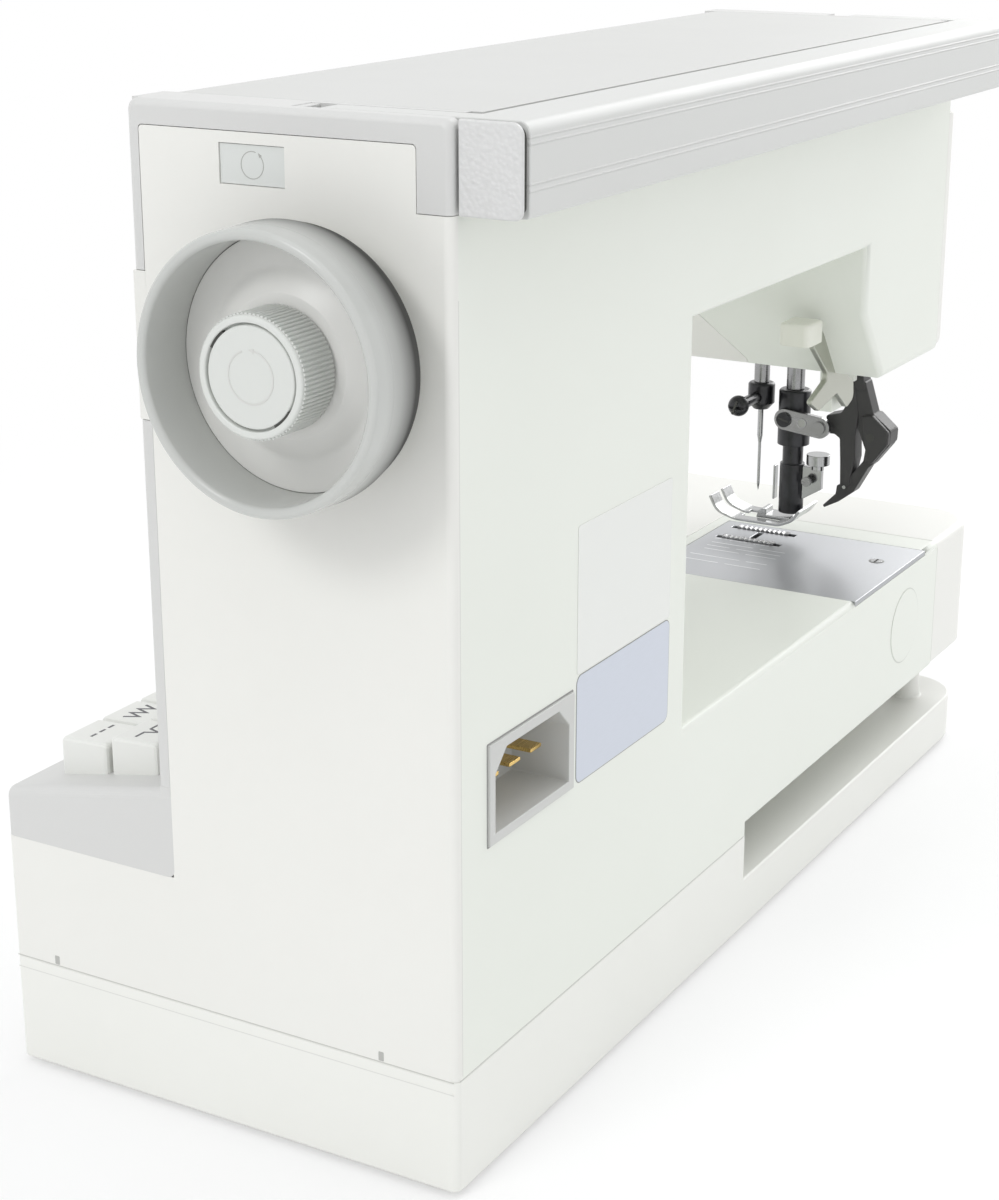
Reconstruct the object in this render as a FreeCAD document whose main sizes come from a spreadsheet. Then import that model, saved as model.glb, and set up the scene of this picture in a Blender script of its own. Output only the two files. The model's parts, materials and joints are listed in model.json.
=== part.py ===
"""Free-arm sewing machine with dual feed, as an assembly of separate pieces.

Frame: +X towards the handwheel end, +Y towards the rear, +Z up. The origin is the middle of the
footprint, on the table. Layout sizes run from the handwheel end face (along), from the rear face
(deep) and from the table (heights), in millimetres.
"""
import FreeCAD, Part
import math
import os
from types import SimpleNamespace

import Sketcher
from FreeCAD import Placement, Rotation, Vector

SIZES = (
    ("body_length", 415.0, "handwheel end face to the far end of the accessory box"),
    ("wheel_reach", 31.0, "handwheel end face to the front of the release knob"),
    ("base_depth", 155.0, "rear face to the front of the base"),
    ("handle_reach", 18.3, "carrying handle behind the rear face"),
    ("foot_height", 2.0, "rubber feet below the base"),
    ("top_height", 293.0, "lid top above the table"),
    # Walls, roundings and clearances
    ("skin", 4.0, "wall of the casting"),
    ("cover", 4.0, "front cover and control panel"),
    ("end_skin", 3.0, "end cover"),
    ("face_skin", 6.0, "depth of the head cover"),
    ("thin_wall", 2.5, "walls of tray, console, boxes and lid"),
    ("edge_round", 2.5, "rounded housing edges"),
    ("small_round", 1.2, "rounded edges of keys and small covers"),
    ("seam", 0.2, "gap between fixed covers"),
    ("running_gap", 0.4, "gap round pieces that move"),
    ("shaft_fit", 0.05, "radial play of a shaft in its hole"),
    # Base
    ("base_short", 5.0, "base short of the accessory box's end"),
    ("rim_drop", 55.9, "bed to the rim under the column"),
    ("floor_drop", 72.4, "bed to the base's floor under the free arm"),
    ("step_beyond", 51.0, "step in the base beyond the column"),
    ("base_wall", 3.0, "wall of the base"),
    ("base_corner", 20.0, "plan radius of the far corners"),
    ("foot_radius", 9.0, "rubber foot"),
    ("foot_inset", 24.0, "foot centre from the base's edges"),
    ("peg_step", 29.0, "locating peg from the accessory box's end"),
    ("peg_deep", 16.0, "locating peg from the rear face"),
    ("peg_radius", 6.0, "foot of the locating peg"),
    ("peg_tip", 4.5, "tip of the locating peg"),
    ("peg_height", 20.0, "height of the locating peg"),
    # Casting: column, arm, head and free arm
    ("column_width", 138.0, "end face to the inner side of the column"),
    ("column_depth", 93.0, "rear face to the front of the casting"),
    ("head_before", 63.0, "head's near side before the needle"),
    ("head_lean", 20.0, "slope of the head's near side"),
    ("head_beyond", 18.0, "head beyond the needle"),
    ("head_low", 172.0, "height of the head's underside"),
    ("slope_share", 0.525, "start of the slope on the head's near side, as a share of its height"),
    ("arm_drop", 71.5, "lid top to the arm's underside"),
    ("deck_drop", 33.0, "lid top to the deck"),
    ("back_drop", 10.0, "lid top to the top of the rear wall"),
    ("arm_beyond", 28.0, "free arm beyond the needle"),
    ("arm_step", 5.0, "free arm's front behind the casting's front"),
    ("arm_tall", 52.4, "height of the free arm"),
    ("bed_height", 92.4, "height of the sewing bed"),
    ("bed_skin", 6.0, "top wall of the free arm"),
    ("cheek_ahead", 1.5, "cheek in front of the presser bar"),
    ("cheek_step", 2.0, "cheek's lowest corner above the head's underside"),
    ("cheek_rise", 1.28, "slope of the cheek's edge"),
    ("web", 6.0, "ribs that carry the shafts"),
    # Covers
    ("frame_band", 6.6, "height of the end frame's top band"),
    ("frame_rear_drop", 22.8, "lid top to the foot of the end frame's rear leg"),
    ("frame_rear_width", 9.7, "width of the end frame's rear leg"),
    ("frame_front_drop", 44.0, "lid top to the foot of the front leg and the lid's skirt"),
    ("frame_round", 1.2, "corner radius of the end frame"),
    ("frame_corner", 3.0, "outer corners of the end frame"),
    ("frame_edge", 2.0, "rounded outer edge of the end frame"),
    ("face_corner", 5.0, "lower corners of the head cover"),
    ("panel_rise", 10.6, "control panel above the bed"),
    ("panel_tall", 105.7, "height of the control panel"),
    ("panel_strip", 10.3, "white strip beside the control panel"),
    ("console_tall", 27.5, "height of the console's rear edge"),
    ("console_fall", 12.0, "fall of the console's top"),
    ("console_round", 4.0, "rounded front edge of the console"),
    ("console_edge", 4.0, "rounded end edge of the console"),
    ("console_corner", 2.5, "lower rear corner of the console"),
    ("window_near", 48.0, "direction plate, near the rear"),
    ("window_wide", 20.0, "width of the direction plate"),
    ("window_drop", 13.2, "end frame's band to the direction plate's lower edge"),
    ("window_tall", 10.3, "height of the direction plate"),
    ("window_recess", 1.6, "recess for the direction plate"),
    ("window_plate", 1.2, "thickness of the direction plate"),
    # Lid and carrying handle
    ("bail_gap", 5.4, "end face to the handle's near arm"),
    ("bail_width", 8.2, "width of the handle's arms"),
    ("bail_height", 9.0, "height of the handle's arms"),
    ("bail_pivot_deep", 40.0, "rear face to the handle's pivot"),
    ("bar_height", 23.0, "height of the handle bar"),
    ("bar_round", 3.0, "rounded edge of the handle bar"),
    ("pivot_radius", 2.0, "pivot pins of handle and lid"),
    ("lid_pivot_deep", 6.0, "rear face to the lid's pivot"),
    ("lid_plate", 3.5, "thickness of the lid"),
    ("lid_round", 5.0, "rounded front edge of the lid"),
    ("lid_rear", 1.2, "lid behind the rear face"),
    # Handwheel
    ("needle_step_back", 27.9, "needle behind the casting's front"),
    ("shaft_drop", 60.2, "lid top to the main shaft"),
    ("shaft_radius", 5.0, "main shaft"),
    ("wheel_radius", 36.0, "handwheel"),
    ("wheel_bore", 32.8, "inside of the handwheel's rim"),
    ("wheel_gap", 5.0, "end face to the back of the handwheel"),
    ("wheel_front", 30.0, "end face to the front of the rim"),
    ("wheel_plate", 4.0, "back plate of the handwheel"),
    ("wheel_hub", 12.0, "hub of the handwheel"),
    ("rim_round", 6.0, "rounded back edge of the rim"),
    ("lip_round", 1.4, "rounded front lip of the rim"),
    ("dish_edge", 4.0, "web thickness at the rim"),
    ("dish_boss", 17.0, "boss of the web"),
    ("dish_front", 21.5, "end face to the front of the web's boss"),
    ("dish_round", 5.0, "fillet at the foot of the boss"),
    ("knob_radius", 16.0, "knurled release knob"),
    ("knob_bore", 6.0, "bore of the release knob"),
    ("knob_face", 13.2, "raised disc on the release knob"),
    ("knob_step", 0.9, "height of the raised disc"),
    ("knurl_radius", 0.55, "flutes of the knurl"),
    ("knurl_count", 60.0, "number of flutes"),
    # Drive
    ("bush_radius", 9.0, "shaft bushes"),
    ("bush_length", 14.0, "length of the shaft bushes"),
    ("web_column", 58.0, "rib in the column"),
    ("web_arm_step", 12.0, "arm rib beyond the column"),
    ("web_head_before", 40.0, "head rib before the needle"),
    ("web_bed_step", 22.0, "free arm rib beyond the column"),
    ("web_hook_before", 32.0, "hook rib before the needle"),
    ("lower_drop", 26.4, "bed to the lower shaft"),
    ("lower_radius", 4.0, "lower shaft"),
    ("pulley_out", 10.5, "end face to the timing pulleys"),
    ("pulley_width", 10.0, "width of the pulleys"),
    ("pulley_radius", 12.0, "timing pulleys"),
    ("flange_radius", 14.0, "flanges of the pulleys beside the belt"),
    ("flange", 1.5, "thickness of a pulley flange"),
    ("belt_thick", 1.6, "timing and motor belts"),
    ("belt_width", 8.0, "width of the belts"),
    ("drive_out", 38.0, "end face to the drive pulleys"),
    ("drive_radius", 20.0, "drive pulley on the main shaft"),
    ("motor_step", 31.0, "motor's axis behind the casting's front"),
    ("motor_height", 160.0, "height of the motor's axis"),
    ("motor_radius", 23.0, "motor"),
    ("motor_out", 48.0, "end face to the motor"),
    ("motor_shaft", 3.0, "motor shaft"),
    ("motor_pulley_radius", 6.0, "motor pulley"),
    ("tooth_module", 1.5, "module of the hook gears"),
    ("tooth_tip", 0.7, "tooth height outside the pitch circle, in modules"),
    ("tooth_root", 1.15, "tooth depth inside the pitch circle, in modules"),
    ("space_root", 0.55, "half width of a tooth space at its root, in modules"),
    ("space_tip", 1.4, "half width of a tooth space beyond the tips, in modules"),
    ("gear_teeth", 24.0, "teeth of the hook gear"),
    ("pinion_teeth", 12.0, "teeth of the hook pinion"),
    ("gear_width", 7.0, "width of the hook gears"),
    ("gear_before", 18.0, "hook gears before the needle"),
    ("hook_radius", 17.0, "rotary hook"),
    ("hook_before", 9.0, "hook before the needle"),
    ("hook_beyond", 10.0, "hook beyond the needle"),
    ("hook_wall", 2.6, "wall of the hook"),
    ("hook_floor", 4.0, "floor of the hook"),
    ("hook_shaft", 4.0, "hook shaft"),
    ("case_boss", 4.0, "boss in the bobbin case"),
    # Head mechanism
    ("needle_step", 75.0, "needle from the accessory box's end"),
    ("needle_bar_radius", 3.0, "needle bar"),
    ("needle_bar_room", 6.0, "needle bar below the deck"),
    ("clamp_tall", 10.5, "height of the needle clamp"),
    ("clamp_lift", 52.0, "needle clamp above the bed"),
    ("clamp_radius", 5.2, "needle clamp"),
    ("screw_reach", 21.5, "needle to the head of its screw"),
    ("screw_ball", 4.0, "round head of the needle screw"),
    ("screw_stem", 2.2, "stem of the needle screw"),
    ("needle_radius", 0.6, "needle blade"),
    ("needle_shank", 1.1, "needle shank"),
    ("shank_length", 19.5, "needle's point to its shank"),
    ("needle_lift", 18.7, "needle's point above the bed"),
    ("needle_point", 3.0, "length of the needle's point"),
    ("cradle_radius", 7.0, "bosses of the needle cradle"),
    ("cradle_boss", 10.0, "length of the cradle's bosses"),
    ("cradle_room", 10.0, "needle cradle below the deck"),
    ("cradle_rise", 3.0, "needle cradle above the head's floor"),
    ("cradle_plate", 3.0, "bridge of the cradle"),
    ("cradle_stub", 3.0, "pivot stub of the cradle"),
    ("lug_step", 4.0, "cradle lug behind the presser bar"),
    ("lug_thick", 6.0, "cradle lug"),
    ("lug_width", 18.0, "width of the lugs in the head"),
    ("swing_room", 8.0, "half width of the needle opening"),
    ("crank_before", 27.0, "crank before the needle"),
    ("crank_thick", 8.0, "crank disc"),
    ("crank_radius", 20.0, "crank disc"),
    ("crank_throw", 14.0, "throw of the crank"),
    ("crank_pin", 3.0, "crank pin"),
    ("crank_pin_reach", 7.0, "free length of the crank pin"),
    ("takeup_before", 33.0, "take-up lever before the needle"),
    ("takeup_thick", 3.0, "take-up lever"),
    ("takeup_step", 27.0, "take-up pivot behind the casting's front"),
    ("takeup_drop", 6.8, "main shaft to the take-up pivot"),
    ("takeup_reach", 38.0, "reach of the take-up lever"),
    ("takeup_rise", 14.0, "rise of the take-up lever"),
    ("takeup_boss", 6.0, "boss of the take-up lever"),
    ("takeup_eye", 4.0, "eye of the take-up lever"),
    ("slot_fall", 22.0, "take-up slot below the pivot"),
    ("slot_rise", 19.0, "take-up slot above the pivot"),
    ("takeup_slot", 6.0, "width of the take-up slot"),
    # Presser foot
    ("presser_step", 14.1, "presser bar behind the needle"),
    ("presser_radius", 3.5, "presser bar"),
    ("presser_rise", 6.0, "presser bar above its upper guide"),
    ("guide_drop", 9.5, "arm's underside to the presser bar's upper guide"),
    ("guide_thick", 8.0, "upper guide of the presser bar"),
    ("collar_tall", 21.8, "height of the shank collar"),
    ("collar_lift", 39.6, "shank collar above the bed"),
    ("collar_radius", 6.2, "shank collar"),
    ("shank_radius", 4.0, "foot shank"),
    ("shank_lift", 12.3, "shank above the bed"),
    ("sleeve_lift", 32.0, "top of the shank's sleeve above the bed"),
    ("sleeve_radius", 4.8, "sleeve of the shank"),
    ("foot_lift", 8.0, "raised foot above the bed"),
    ("foot_width", 19.0, "width of the presser foot"),
    ("toe_reach", 31.5, "toe in front of the presser bar"),
    ("heel_reach", 8.0, "heel behind the presser bar"),
    ("foot_thick", 1.6, "sole of the presser foot"),
    ("foot_curl", 5.0, "rise of the toe"),
    ("toe_bend", 19.0, "start of the toe's curve in front of the presser bar"),
    ("sole_end", 6.0, "end of the flat sole in front of the presser bar"),
    ("heel_bend", 1.5, "start of the heel's curve behind the presser bar"),
    ("heel_rise", 8.0, "rise of the heel"),
    ("heel_play", 0.8, "heel from the shank's sleeve"),
    ("foot_slot_x", 4.5, "half width of the needle slot in the foot"),
    ("foot_slot_y", 2.5, "half length of the needle slot in the foot"),
    ("toe_gap", 3.0, "half width of the gap between the toes"),
    ("toe_gap_length", 14.0, "length of the gap between the toes"),
    ("ankle_half", 4.0, "half width of the ankle"),
    ("ankle_reach", 9.0, "ankle in front of the presser bar"),
    ("knuckle_radius", 2.0, "round top of the ankle"),
    ("foot_screw_step", 10.6, "foot screw behind the presser bar"),
    ("foot_screw_rise", 1.2, "foot screw above its bracket"),
    ("foot_screw_radius", 4.5, "head of the foot screw"),
    ("foot_screw_head", 4.0, "length of the foot screw's head"),
    ("bracket_lift", 18.0, "foot bracket above the bed"),
    ("bracket_tall", 13.4, "height of the foot bracket"),
    ("bracket_reach", 12.6, "foot bracket behind the presser bar"),
    ("bracket_thick", 2.4, "foot bracket"),
    # Dual feed
    ("link_thick", 2.4, "dual-feed link"),
    ("link_radius", 4.1, "ends of the dual-feed link"),
    ("link_ahead", 0.7, "link's front pivot in front of the presser bar"),
    ("link_front_lift", 50.8, "link's front pivot above the bed"),
    ("link_behind", 13.7, "link's rear pivot behind the presser bar"),
    ("link_rear_lift", 49.2, "link's rear pivot above the bed"),
    ("dual_width", 8.0, "width of the dual-feed arm"),
    ("dual_pin_step", 21.5, "dual-feed pivot behind the presser bar"),
    ("dual_pin_drop", 6.0, "head's underside to the dual-feed pivot"),
    ("dual_pin", 2.5, "dual-feed pivot"),
    ("dual_lug", 3.0, "lugs that carry the dual-feed pivot"),
    ("dual_front_step", 20.5, "upright limb's front behind the presser bar"),
    ("dual_limb", 5.5, "depth of the upright limb"),
    ("dual_boss_tall", 7.6, "height of the boss towards the link"),
    ("dual_boss_lift", 46.2, "boss towards the link above the bed"),
    ("dual_limb_lift", 26.0, "upright limb above the bed"),
    ("dual_knee", 13.0, "knee behind the gap between the limbs"),
    ("dual_knee_lift", 48.6, "knee above the bed"),
    ("dual_hollow_deep", 2.5, "depth of the gap between the limbs"),
    ("dual_hollow_tall", 22.8, "height of the gap between the limbs"),
    ("dual_hollow_lift", 29.1, "gap between the limbs above the bed"),
    ("dual_toe", 6.1, "toe in front of the upright limb"),
    ("dual_toe_lift", 16.5, "dual-feed toe above the bed"),
    ("dual_boss_reach", 3.8, "boss towards the link in front of the limb"),
    ("dual_neck", 3.4, "neck above the boss behind the limb's front"),
    ("dual_neck_rise", 1.8, "neck above the boss"),
    ("dual_heel", 5.7, "lower end of the bent limb behind the gap"),
    ("dual_heel_lift", 33.2, "lower end of the bent limb above the bed"),
    ("dual_shoulder", 5.4, "shoulder of the bent limb behind the gap"),
    ("dual_shoulder_rise", 8.7, "shoulder of the bent limb above the knee"),
    # Lifter
    ("lifter_before", 28.0, "lifter's pivot before the needle"),
    ("lifter_drop", 11.0, "head's underside to the lifter's pivot"),
    ("lifter_deep", 18.0, "rear face to the lifter's plate"),
    ("lifter_thick", 4.0, "lifter plate"),
    ("lifter_boss", 6.0, "boss of the lifter"),
    ("lifter_pin", 2.5, "pivot stub of the lifter"),
    ("lifter_lug", 5.0, "lug that carries the lifter"),
    ("lifter_gap", 1.4, "lifter from the head's sloping side"),
    ("lifter_width", 7.0, "lifter's blade where it bends round the head's corner"),
    ("lifter_reach", 38.0, "lifter's reach from its pivot"),
    ("lifter_fall", 2.0, "top of the head's slope to the lifter's tip"),
    ("cap_length", 13.0, "lifter cap"),
    ("cap_depth", 11.5, "depth of the lifter cap"),
    ("cap_height", 8.0, "height of the lifter cap"),
    # Bed
    ("plate_before", 58.5, "needle plate before the needle"),
    ("plate_beyond", 14.5, "needle plate beyond the needle"),
    ("plate_step", 4.5, "needle plate behind the free arm's front"),
    ("plate_thick", 2.0, "needle plate"),
    ("plate_ledge", 5.0, "ledge that carries the needle plate"),
    ("feed_width", 2.4, "rows of feed teeth"),
    ("feed_pitch", 7.5, "spacing of the feed rows"),
    ("feed_length", 22.0, "length of the feed rows"),
    ("feed_rise", 0.8, "feed teeth above the plate"),
    ("feed_travel", 2.2, "feed stroke to each side"),
    ("feed_bar_thick", 4.0, "feed bar"),
    ("tooth_pitch", 2.0, "pitch of the feed teeth"),
    ("needle_hole_x", 4.5, "half width of the needle hole"),
    ("needle_hole_y", 1.2, "half length of the needle hole"),
    # Controls
    ("dial_out", 64.0, "end face to the dials"),
    ("length_dial_drop", 27.7, "panel top to the stitch length dial"),
    ("width_dial_rise", 33.5, "panel foot to the stitch width dial"),
    ("dial_radius", 17.0, "stitch dials"),
    ("dial_length", 13.0, "length of the stitch dials"),
    ("dial_shaft", 4.0, "shaft of the stitch dials"),
    ("dial_shaft_length", 6.0, "dial shaft behind the panel"),
    ("grip_radius", 1.1, "flutes of the dials"),
    ("grip_count", 24.0, "number of flutes on a dial"),
    ("tension_before", 9.0, "tension dial before the needle"),
    ("tension_drop", 2.0, "take-up pivot to the tension dial"),
    ("tension_radius", 12.0, "tension dial"),
    ("reverse_before", 46.0, "reverse key before the needle"),
    ("reverse_rise", 2.0, "reverse key above the head's slope"),
    ("reverse_width", 16.0, "width of the reverse key"),
    ("reverse_tall", 13.0, "height of the reverse key"),
    ("reverse_proud", 6.0, "reverse key in front of the cover"),
    ("reverse_travel", 4.0, "travel of the reverse key"),
    ("key_out", 11.5, "end face to the first stitch key"),
    ("key_pitch_x", 18.2, "key spacing along the console"),
    ("key_length", 17.0, "length of a key"),
    ("key_pitch_y", 18.6, "key spacing across the console"),
    ("key_front", 142.0, "rear face to the front row's front"),
    ("key_depth", 17.0, "depth of a key"),
    ("key_proud", 9.5, "keys above the console"),
    ("key_sunk", 7.0, "keys below the console's surface"),
    ("winder_out", 45.0, "end face to the bobbin winder"),
    ("winder_deep", 48.0, "rear face to the bobbin winder"),
    ("winder_spindle", 3.0, "bobbin winder spindle"),
    ("winder_disc", 10.0, "bobbin winder disc"),
    ("winder_height", 24.0, "bobbin winder above the deck"),
    # Power inlet
    ("inlet_near", 16.4, "end face to the inlet"),
    ("inlet_wide", 47.6, "width of the inlet"),
    ("inlet_low", 99.6, "height of the inlet's lower edge"),
    ("inlet_tall", 29.5, "height of the inlet"),
    ("inlet_depth", 21.0, "depth of the inlet"),
    ("inlet_rim", 3.0, "rim of the inlet"),
    ("inlet_proud", 0.8, "rim in front of the rear wall"),
    ("inlet_key", 6.0, "cut corners of the inlet's recess"),
    ("blade_width", 6.0, "inlet blades"),
    ("blade_thick", 1.2, "thickness of the inlet blades"),
    ("blade_length", 13.0, "length of the inlet blades"),
    # Accessory box
    ("box_gap", 1.0, "accessory box from the column"),
    ("box_rise", 2.0, "accessory box above the free arm's underside"),
    ("box_step", 4.0, "accessory box behind the base's front"),
    ("box_corner", 18.0, "plan radius of the accessory box"),
    ("box_edge", 3.0, "rounded top edge of the accessory box"),
)

doc = FreeCAD.newDocument("sewing_machine")
sheet = doc.addObject("Spreadsheet::Sheet", "dims")
AXES = ("x", "y", "z")
PLANES = {"x": "YZ_Plane", "y": "XZ_Plane", "z": "XY_Plane"}
TURNS = {
    "x": Rotation(Vector(0, 1, 0), 90),
    "y": Rotation(Vector(1, 0, 0), -90),
    "z": Rotation(),
}
TOUCH = 1e-4
PAST = 1.0
FULL_TURN = 360.0
QUARTER_TURN = 90.0


class Size:
    """A length that knows its number and its formula on the sheet."""

    def __init__(self, value, formula):
        self.value = value
        self.formula = formula

    def __add__(self, other):
        other = as_size(other)
        return Size(self.value + other.value, f"({self.formula} + {other.formula})")

    def __sub__(self, other):
        other = as_size(other)
        return Size(self.value - other.value, f"({self.formula} - {other.formula})")

    def __mul__(self, other):
        other = as_size(other)
        return Size(self.value * other.value, f"({self.formula} * {other.formula})")

    def __truediv__(self, other):
        other = as_size(other)
        return Size(self.value / other.value, f"({self.formula} / {other.formula})")

    def __neg__(self):
        return Size(-self.value, f"(0 - {self.formula})")

    def __radd__(self, other):
        return as_size(other) + self

    def __rsub__(self, other):
        return as_size(other) - self

    __rmul__ = __mul__


def as_size(number):
    """Take a plain number as a size."""
    if isinstance(number, Size):
        return number
    return Size(float(number), f"{float(number):.6f}")


def read_sheet():
    """Fill the sheet and give each cell back as a size."""
    cells = {}
    for row, (alias, value, meaning) in enumerate(SIZES, start=1):
        sheet.set(f"A{row}", meaning)
        sheet.set(f"B{row}", str(value))
        sheet.setAlias(f"B{row}", alias)
        cells[alias] = Size(value, f"dims.{alias}")
    doc.recompute()
    return SimpleNamespace(**cells)


def lay_out(c):
    """Work out the places that follow from the sheet's sizes."""
    c.base_rim = c.bed_height - c.rim_drop
    c.base_low = c.bed_height - c.floor_drop
    c.frame_low = c.top_height - c.frame_band
    c.frame_rear_low = c.top_height - c.frame_rear_drop
    c.frame_front_low = c.top_height - c.frame_front_drop
    c.deck_height = c.top_height - c.deck_drop
    c.back_top = c.top_height - c.back_drop
    c.bar_low = c.top_height - c.bar_height
    c.arm_low = c.top_height - c.arm_drop
    c.head_slope = c.head_low + (c.arm_low - c.head_low) * c.slope_share
    c.shaft_height = c.top_height - c.shaft_drop
    c.window_low = c.frame_low - c.window_drop
    c.window_high = c.window_low + c.window_tall
    c.needle_bar_top = c.deck_height - c.skin - c.needle_bar_room
    c.cradle_top = c.deck_height - c.skin - c.cradle_room
    c.cradle_low = c.head_low + c.skin + c.cradle_rise
    c.guide_low = c.arm_low - c.guide_drop
    c.presser_top = c.guide_low + c.guide_thick + c.presser_rise
    c.takeup_height = c.shaft_height - c.takeup_drop
    c.takeup_slot_low = c.takeup_height - c.slot_fall
    c.takeup_slot_high = c.takeup_height + c.slot_rise
    c.tension_height = c.takeup_height - c.tension_drop
    c.reverse_height = c.head_slope + c.reverse_rise
    c.winder_top = c.deck_height + c.winder_height
    c.cheek_low = c.head_low + c.cheek_step
    c.arm_under = c.bed_height - c.arm_tall
    c.lower_height = c.bed_height - c.lower_drop
    c.box_low = c.arm_under + c.box_rise
    c.panel_low = c.bed_height + c.panel_rise
    c.panel_top = c.panel_low + c.panel_tall
    c.console_low = c.panel_low - c.console_tall
    c.console_front = c.panel_low - c.console_fall
    c.length_dial_height = c.panel_top - c.length_dial_drop
    c.width_dial_height = c.panel_low + c.width_dial_rise
    c.inlet_high = c.inlet_low + c.inlet_tall
    c.inlet_far = c.inlet_near + c.inlet_wide
    c.foot_sole = c.bed_height + c.foot_lift
    c.shank_low = c.bed_height + c.shank_lift
    c.sleeve_top = c.bed_height + c.sleeve_lift
    c.collar_low = c.bed_height + c.collar_lift
    c.collar_top = c.collar_low + c.collar_tall
    c.needle_tip = c.bed_height + c.needle_lift
    c.needle_shank_low = c.needle_tip + c.shank_length
    c.clamp_low = c.bed_height + c.clamp_lift
    c.clamp_top = c.clamp_low + c.clamp_tall
    c.bracket_low = c.bed_height + c.bracket_lift
    c.bracket_top = c.bracket_low + c.bracket_tall
    c.foot_screw_height = c.bracket_top + c.foot_screw_rise
    c.link_front_height = c.bed_height + c.link_front_lift
    c.link_rear_height = c.bed_height + c.link_rear_lift
    c.dual_pin_height = c.head_low - c.dual_pin_drop
    c.dual_boss_low = c.bed_height + c.dual_boss_lift
    c.dual_boss_top = c.dual_boss_low + c.dual_boss_tall
    c.dual_limb_low = c.bed_height + c.dual_limb_lift
    c.dual_knee_height = c.bed_height + c.dual_knee_lift
    c.dual_hollow_low = c.bed_height + c.dual_hollow_lift
    c.dual_hollow_top = c.dual_hollow_low + c.dual_hollow_tall
    c.dual_toe_height = c.bed_height + c.dual_toe_lift
    c.lifter_height = c.head_low - c.lifter_drop
    c.lifter_tip_height = c.head_slope - c.lifter_fall
    c.arm_depth = c.column_depth - c.arm_step
    c.motor_deep = c.column_depth - c.motor_step
    c.takeup_deep = c.column_depth - c.takeup_step
    c.box_front = c.base_depth - c.box_step
    c.plate_depth = c.arm_depth - c.plate_step
    c.base_length = c.body_length - c.base_short
    c.peg_out = c.body_length - c.peg_step
    c.needle_out = c.body_length - c.needle_step
    c.head_far = c.needle_out + c.head_beyond
    c.head_near = c.needle_out - c.head_before
    c.head_near_low = c.head_near + c.head_lean
    c.arm_end = c.needle_out + c.arm_beyond
    c.plate_near = c.needle_out - c.plate_before
    c.plate_far = c.needle_out + c.plate_beyond
    c.hook_near = c.needle_out - c.hook_before
    c.hook_far = c.needle_out + c.hook_beyond
    c.gear_out = c.needle_out - c.gear_before
    c.web_hook = c.needle_out - c.web_hook_before
    c.web_head = c.needle_out - c.web_head_before
    c.crank_out = c.needle_out - c.crank_before
    c.takeup_out = c.needle_out - c.takeup_before
    c.tension_out = c.needle_out - c.tension_before
    c.reverse_out = c.needle_out - c.reverse_before
    c.lifter_out = c.needle_out - c.lifter_before
    c.lifter_tip_out = c.lifter_out - c.lifter_reach
    c.base_step = c.column_width + c.step_beyond
    c.box_near = c.column_width + c.box_gap
    c.panel_width = c.column_width - c.panel_strip
    c.web_arm = c.column_width + c.web_arm_step
    c.web_bed = c.column_width + c.web_bed_step
    c.window_far = c.window_near + c.window_wide
    c.needle_deep = c.column_depth - c.needle_step_back
    c.shaft_deep = c.needle_deep - c.tooth_module * (c.gear_teeth + c.pinion_teeth) / 2
    c.presser_deep = c.needle_deep - c.presser_step
    c.cheek_deep = c.presser_deep + c.cheek_ahead
    c.lug_near = c.presser_deep - c.lug_step
    c.foot_toe = c.presser_deep + c.toe_reach
    c.foot_heel = c.presser_deep - c.heel_reach
    c.toe_gap_deep = c.foot_toe - c.toe_gap_length
    c.ankle_far = c.presser_deep + c.ankle_reach
    c.foot_screw_deep = c.presser_deep - c.foot_screw_step
    c.bracket_near = c.presser_deep - c.bracket_reach
    c.link_front = c.presser_deep + c.link_ahead
    c.link_rear = c.presser_deep - c.link_behind
    c.dual_pin_deep = c.presser_deep - c.dual_pin_step
    c.dual_front = c.presser_deep - c.dual_front_step
    c.dual_rear = c.dual_front - c.dual_limb
    c.dual_inner_deep = c.dual_rear - c.dual_hollow_deep
    c.dual_knee_deep = c.dual_inner_deep - c.dual_knee
    c.dual_toe_deep = c.dual_front + c.dual_toe
    return c


d = lay_out(read_sheet())
x_end = (d.body_length - d.wheel_reach) / 2
y_back = (d.base_depth - d.handle_reach) / 2
y_front = y_back - d.base_depth


def along(distance):
    """X at a distance from the handwheel end face."""
    return x_end - distance


def deep(distance):
    """Y at a distance from the rear face."""
    return y_back - distance


def bind(item, name, size):
    """Tie a property to the sheet."""
    item.setExpression(name, as_size(size).formula)


def place(item, axis, centre, start):
    """Turn a piece onto an axis and put its foot at start on that axis."""
    item.Placement = Placement(Vector(), TURNS[axis])
    across = iter(centre)
    for name in AXES:
        bind(item, f"Placement.Base.{name}", start if name == axis else next(across))


def box(name, x, y, z):
    """A block between two corners."""
    block = doc.addObject("Part::Box", name)
    for label, span in (("Length", x), ("Width", y), ("Height", z)):
        bind(block, label, span[1] - span[0])
    for axis, span in zip(AXES, (x, y, z)):
        bind(block, f"Placement.Base.{axis}", span[0])
    return block


def rod(name, axis, centre, span, radius):
    """A round bar on an axis."""
    bar = doc.addObject("Part::Cylinder", name)
    bind(bar, "Radius", radius)
    bind(bar, "Height", span[1] - span[0])
    place(bar, axis, centre, span[0])
    return bar


def taper(name, axis, centre, span, start, end):
    """A round bar that narrows along its axis."""
    bar = doc.addObject("Part::Cone", name)
    bind(bar, "Radius1", start)
    bind(bar, "Radius2", end)
    bind(bar, "Height", span[1] - span[0])
    place(bar, axis, centre, span[0])
    return bar


def ball(name, centre, radius):
    """A round head."""
    sphere = doc.addObject("Part::Sphere", name)
    bind(sphere, "Radius", radius)
    for axis, size in zip(AXES, centre):
        bind(sphere, f"Placement.Base.{axis}", size)
    return sphere


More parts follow.
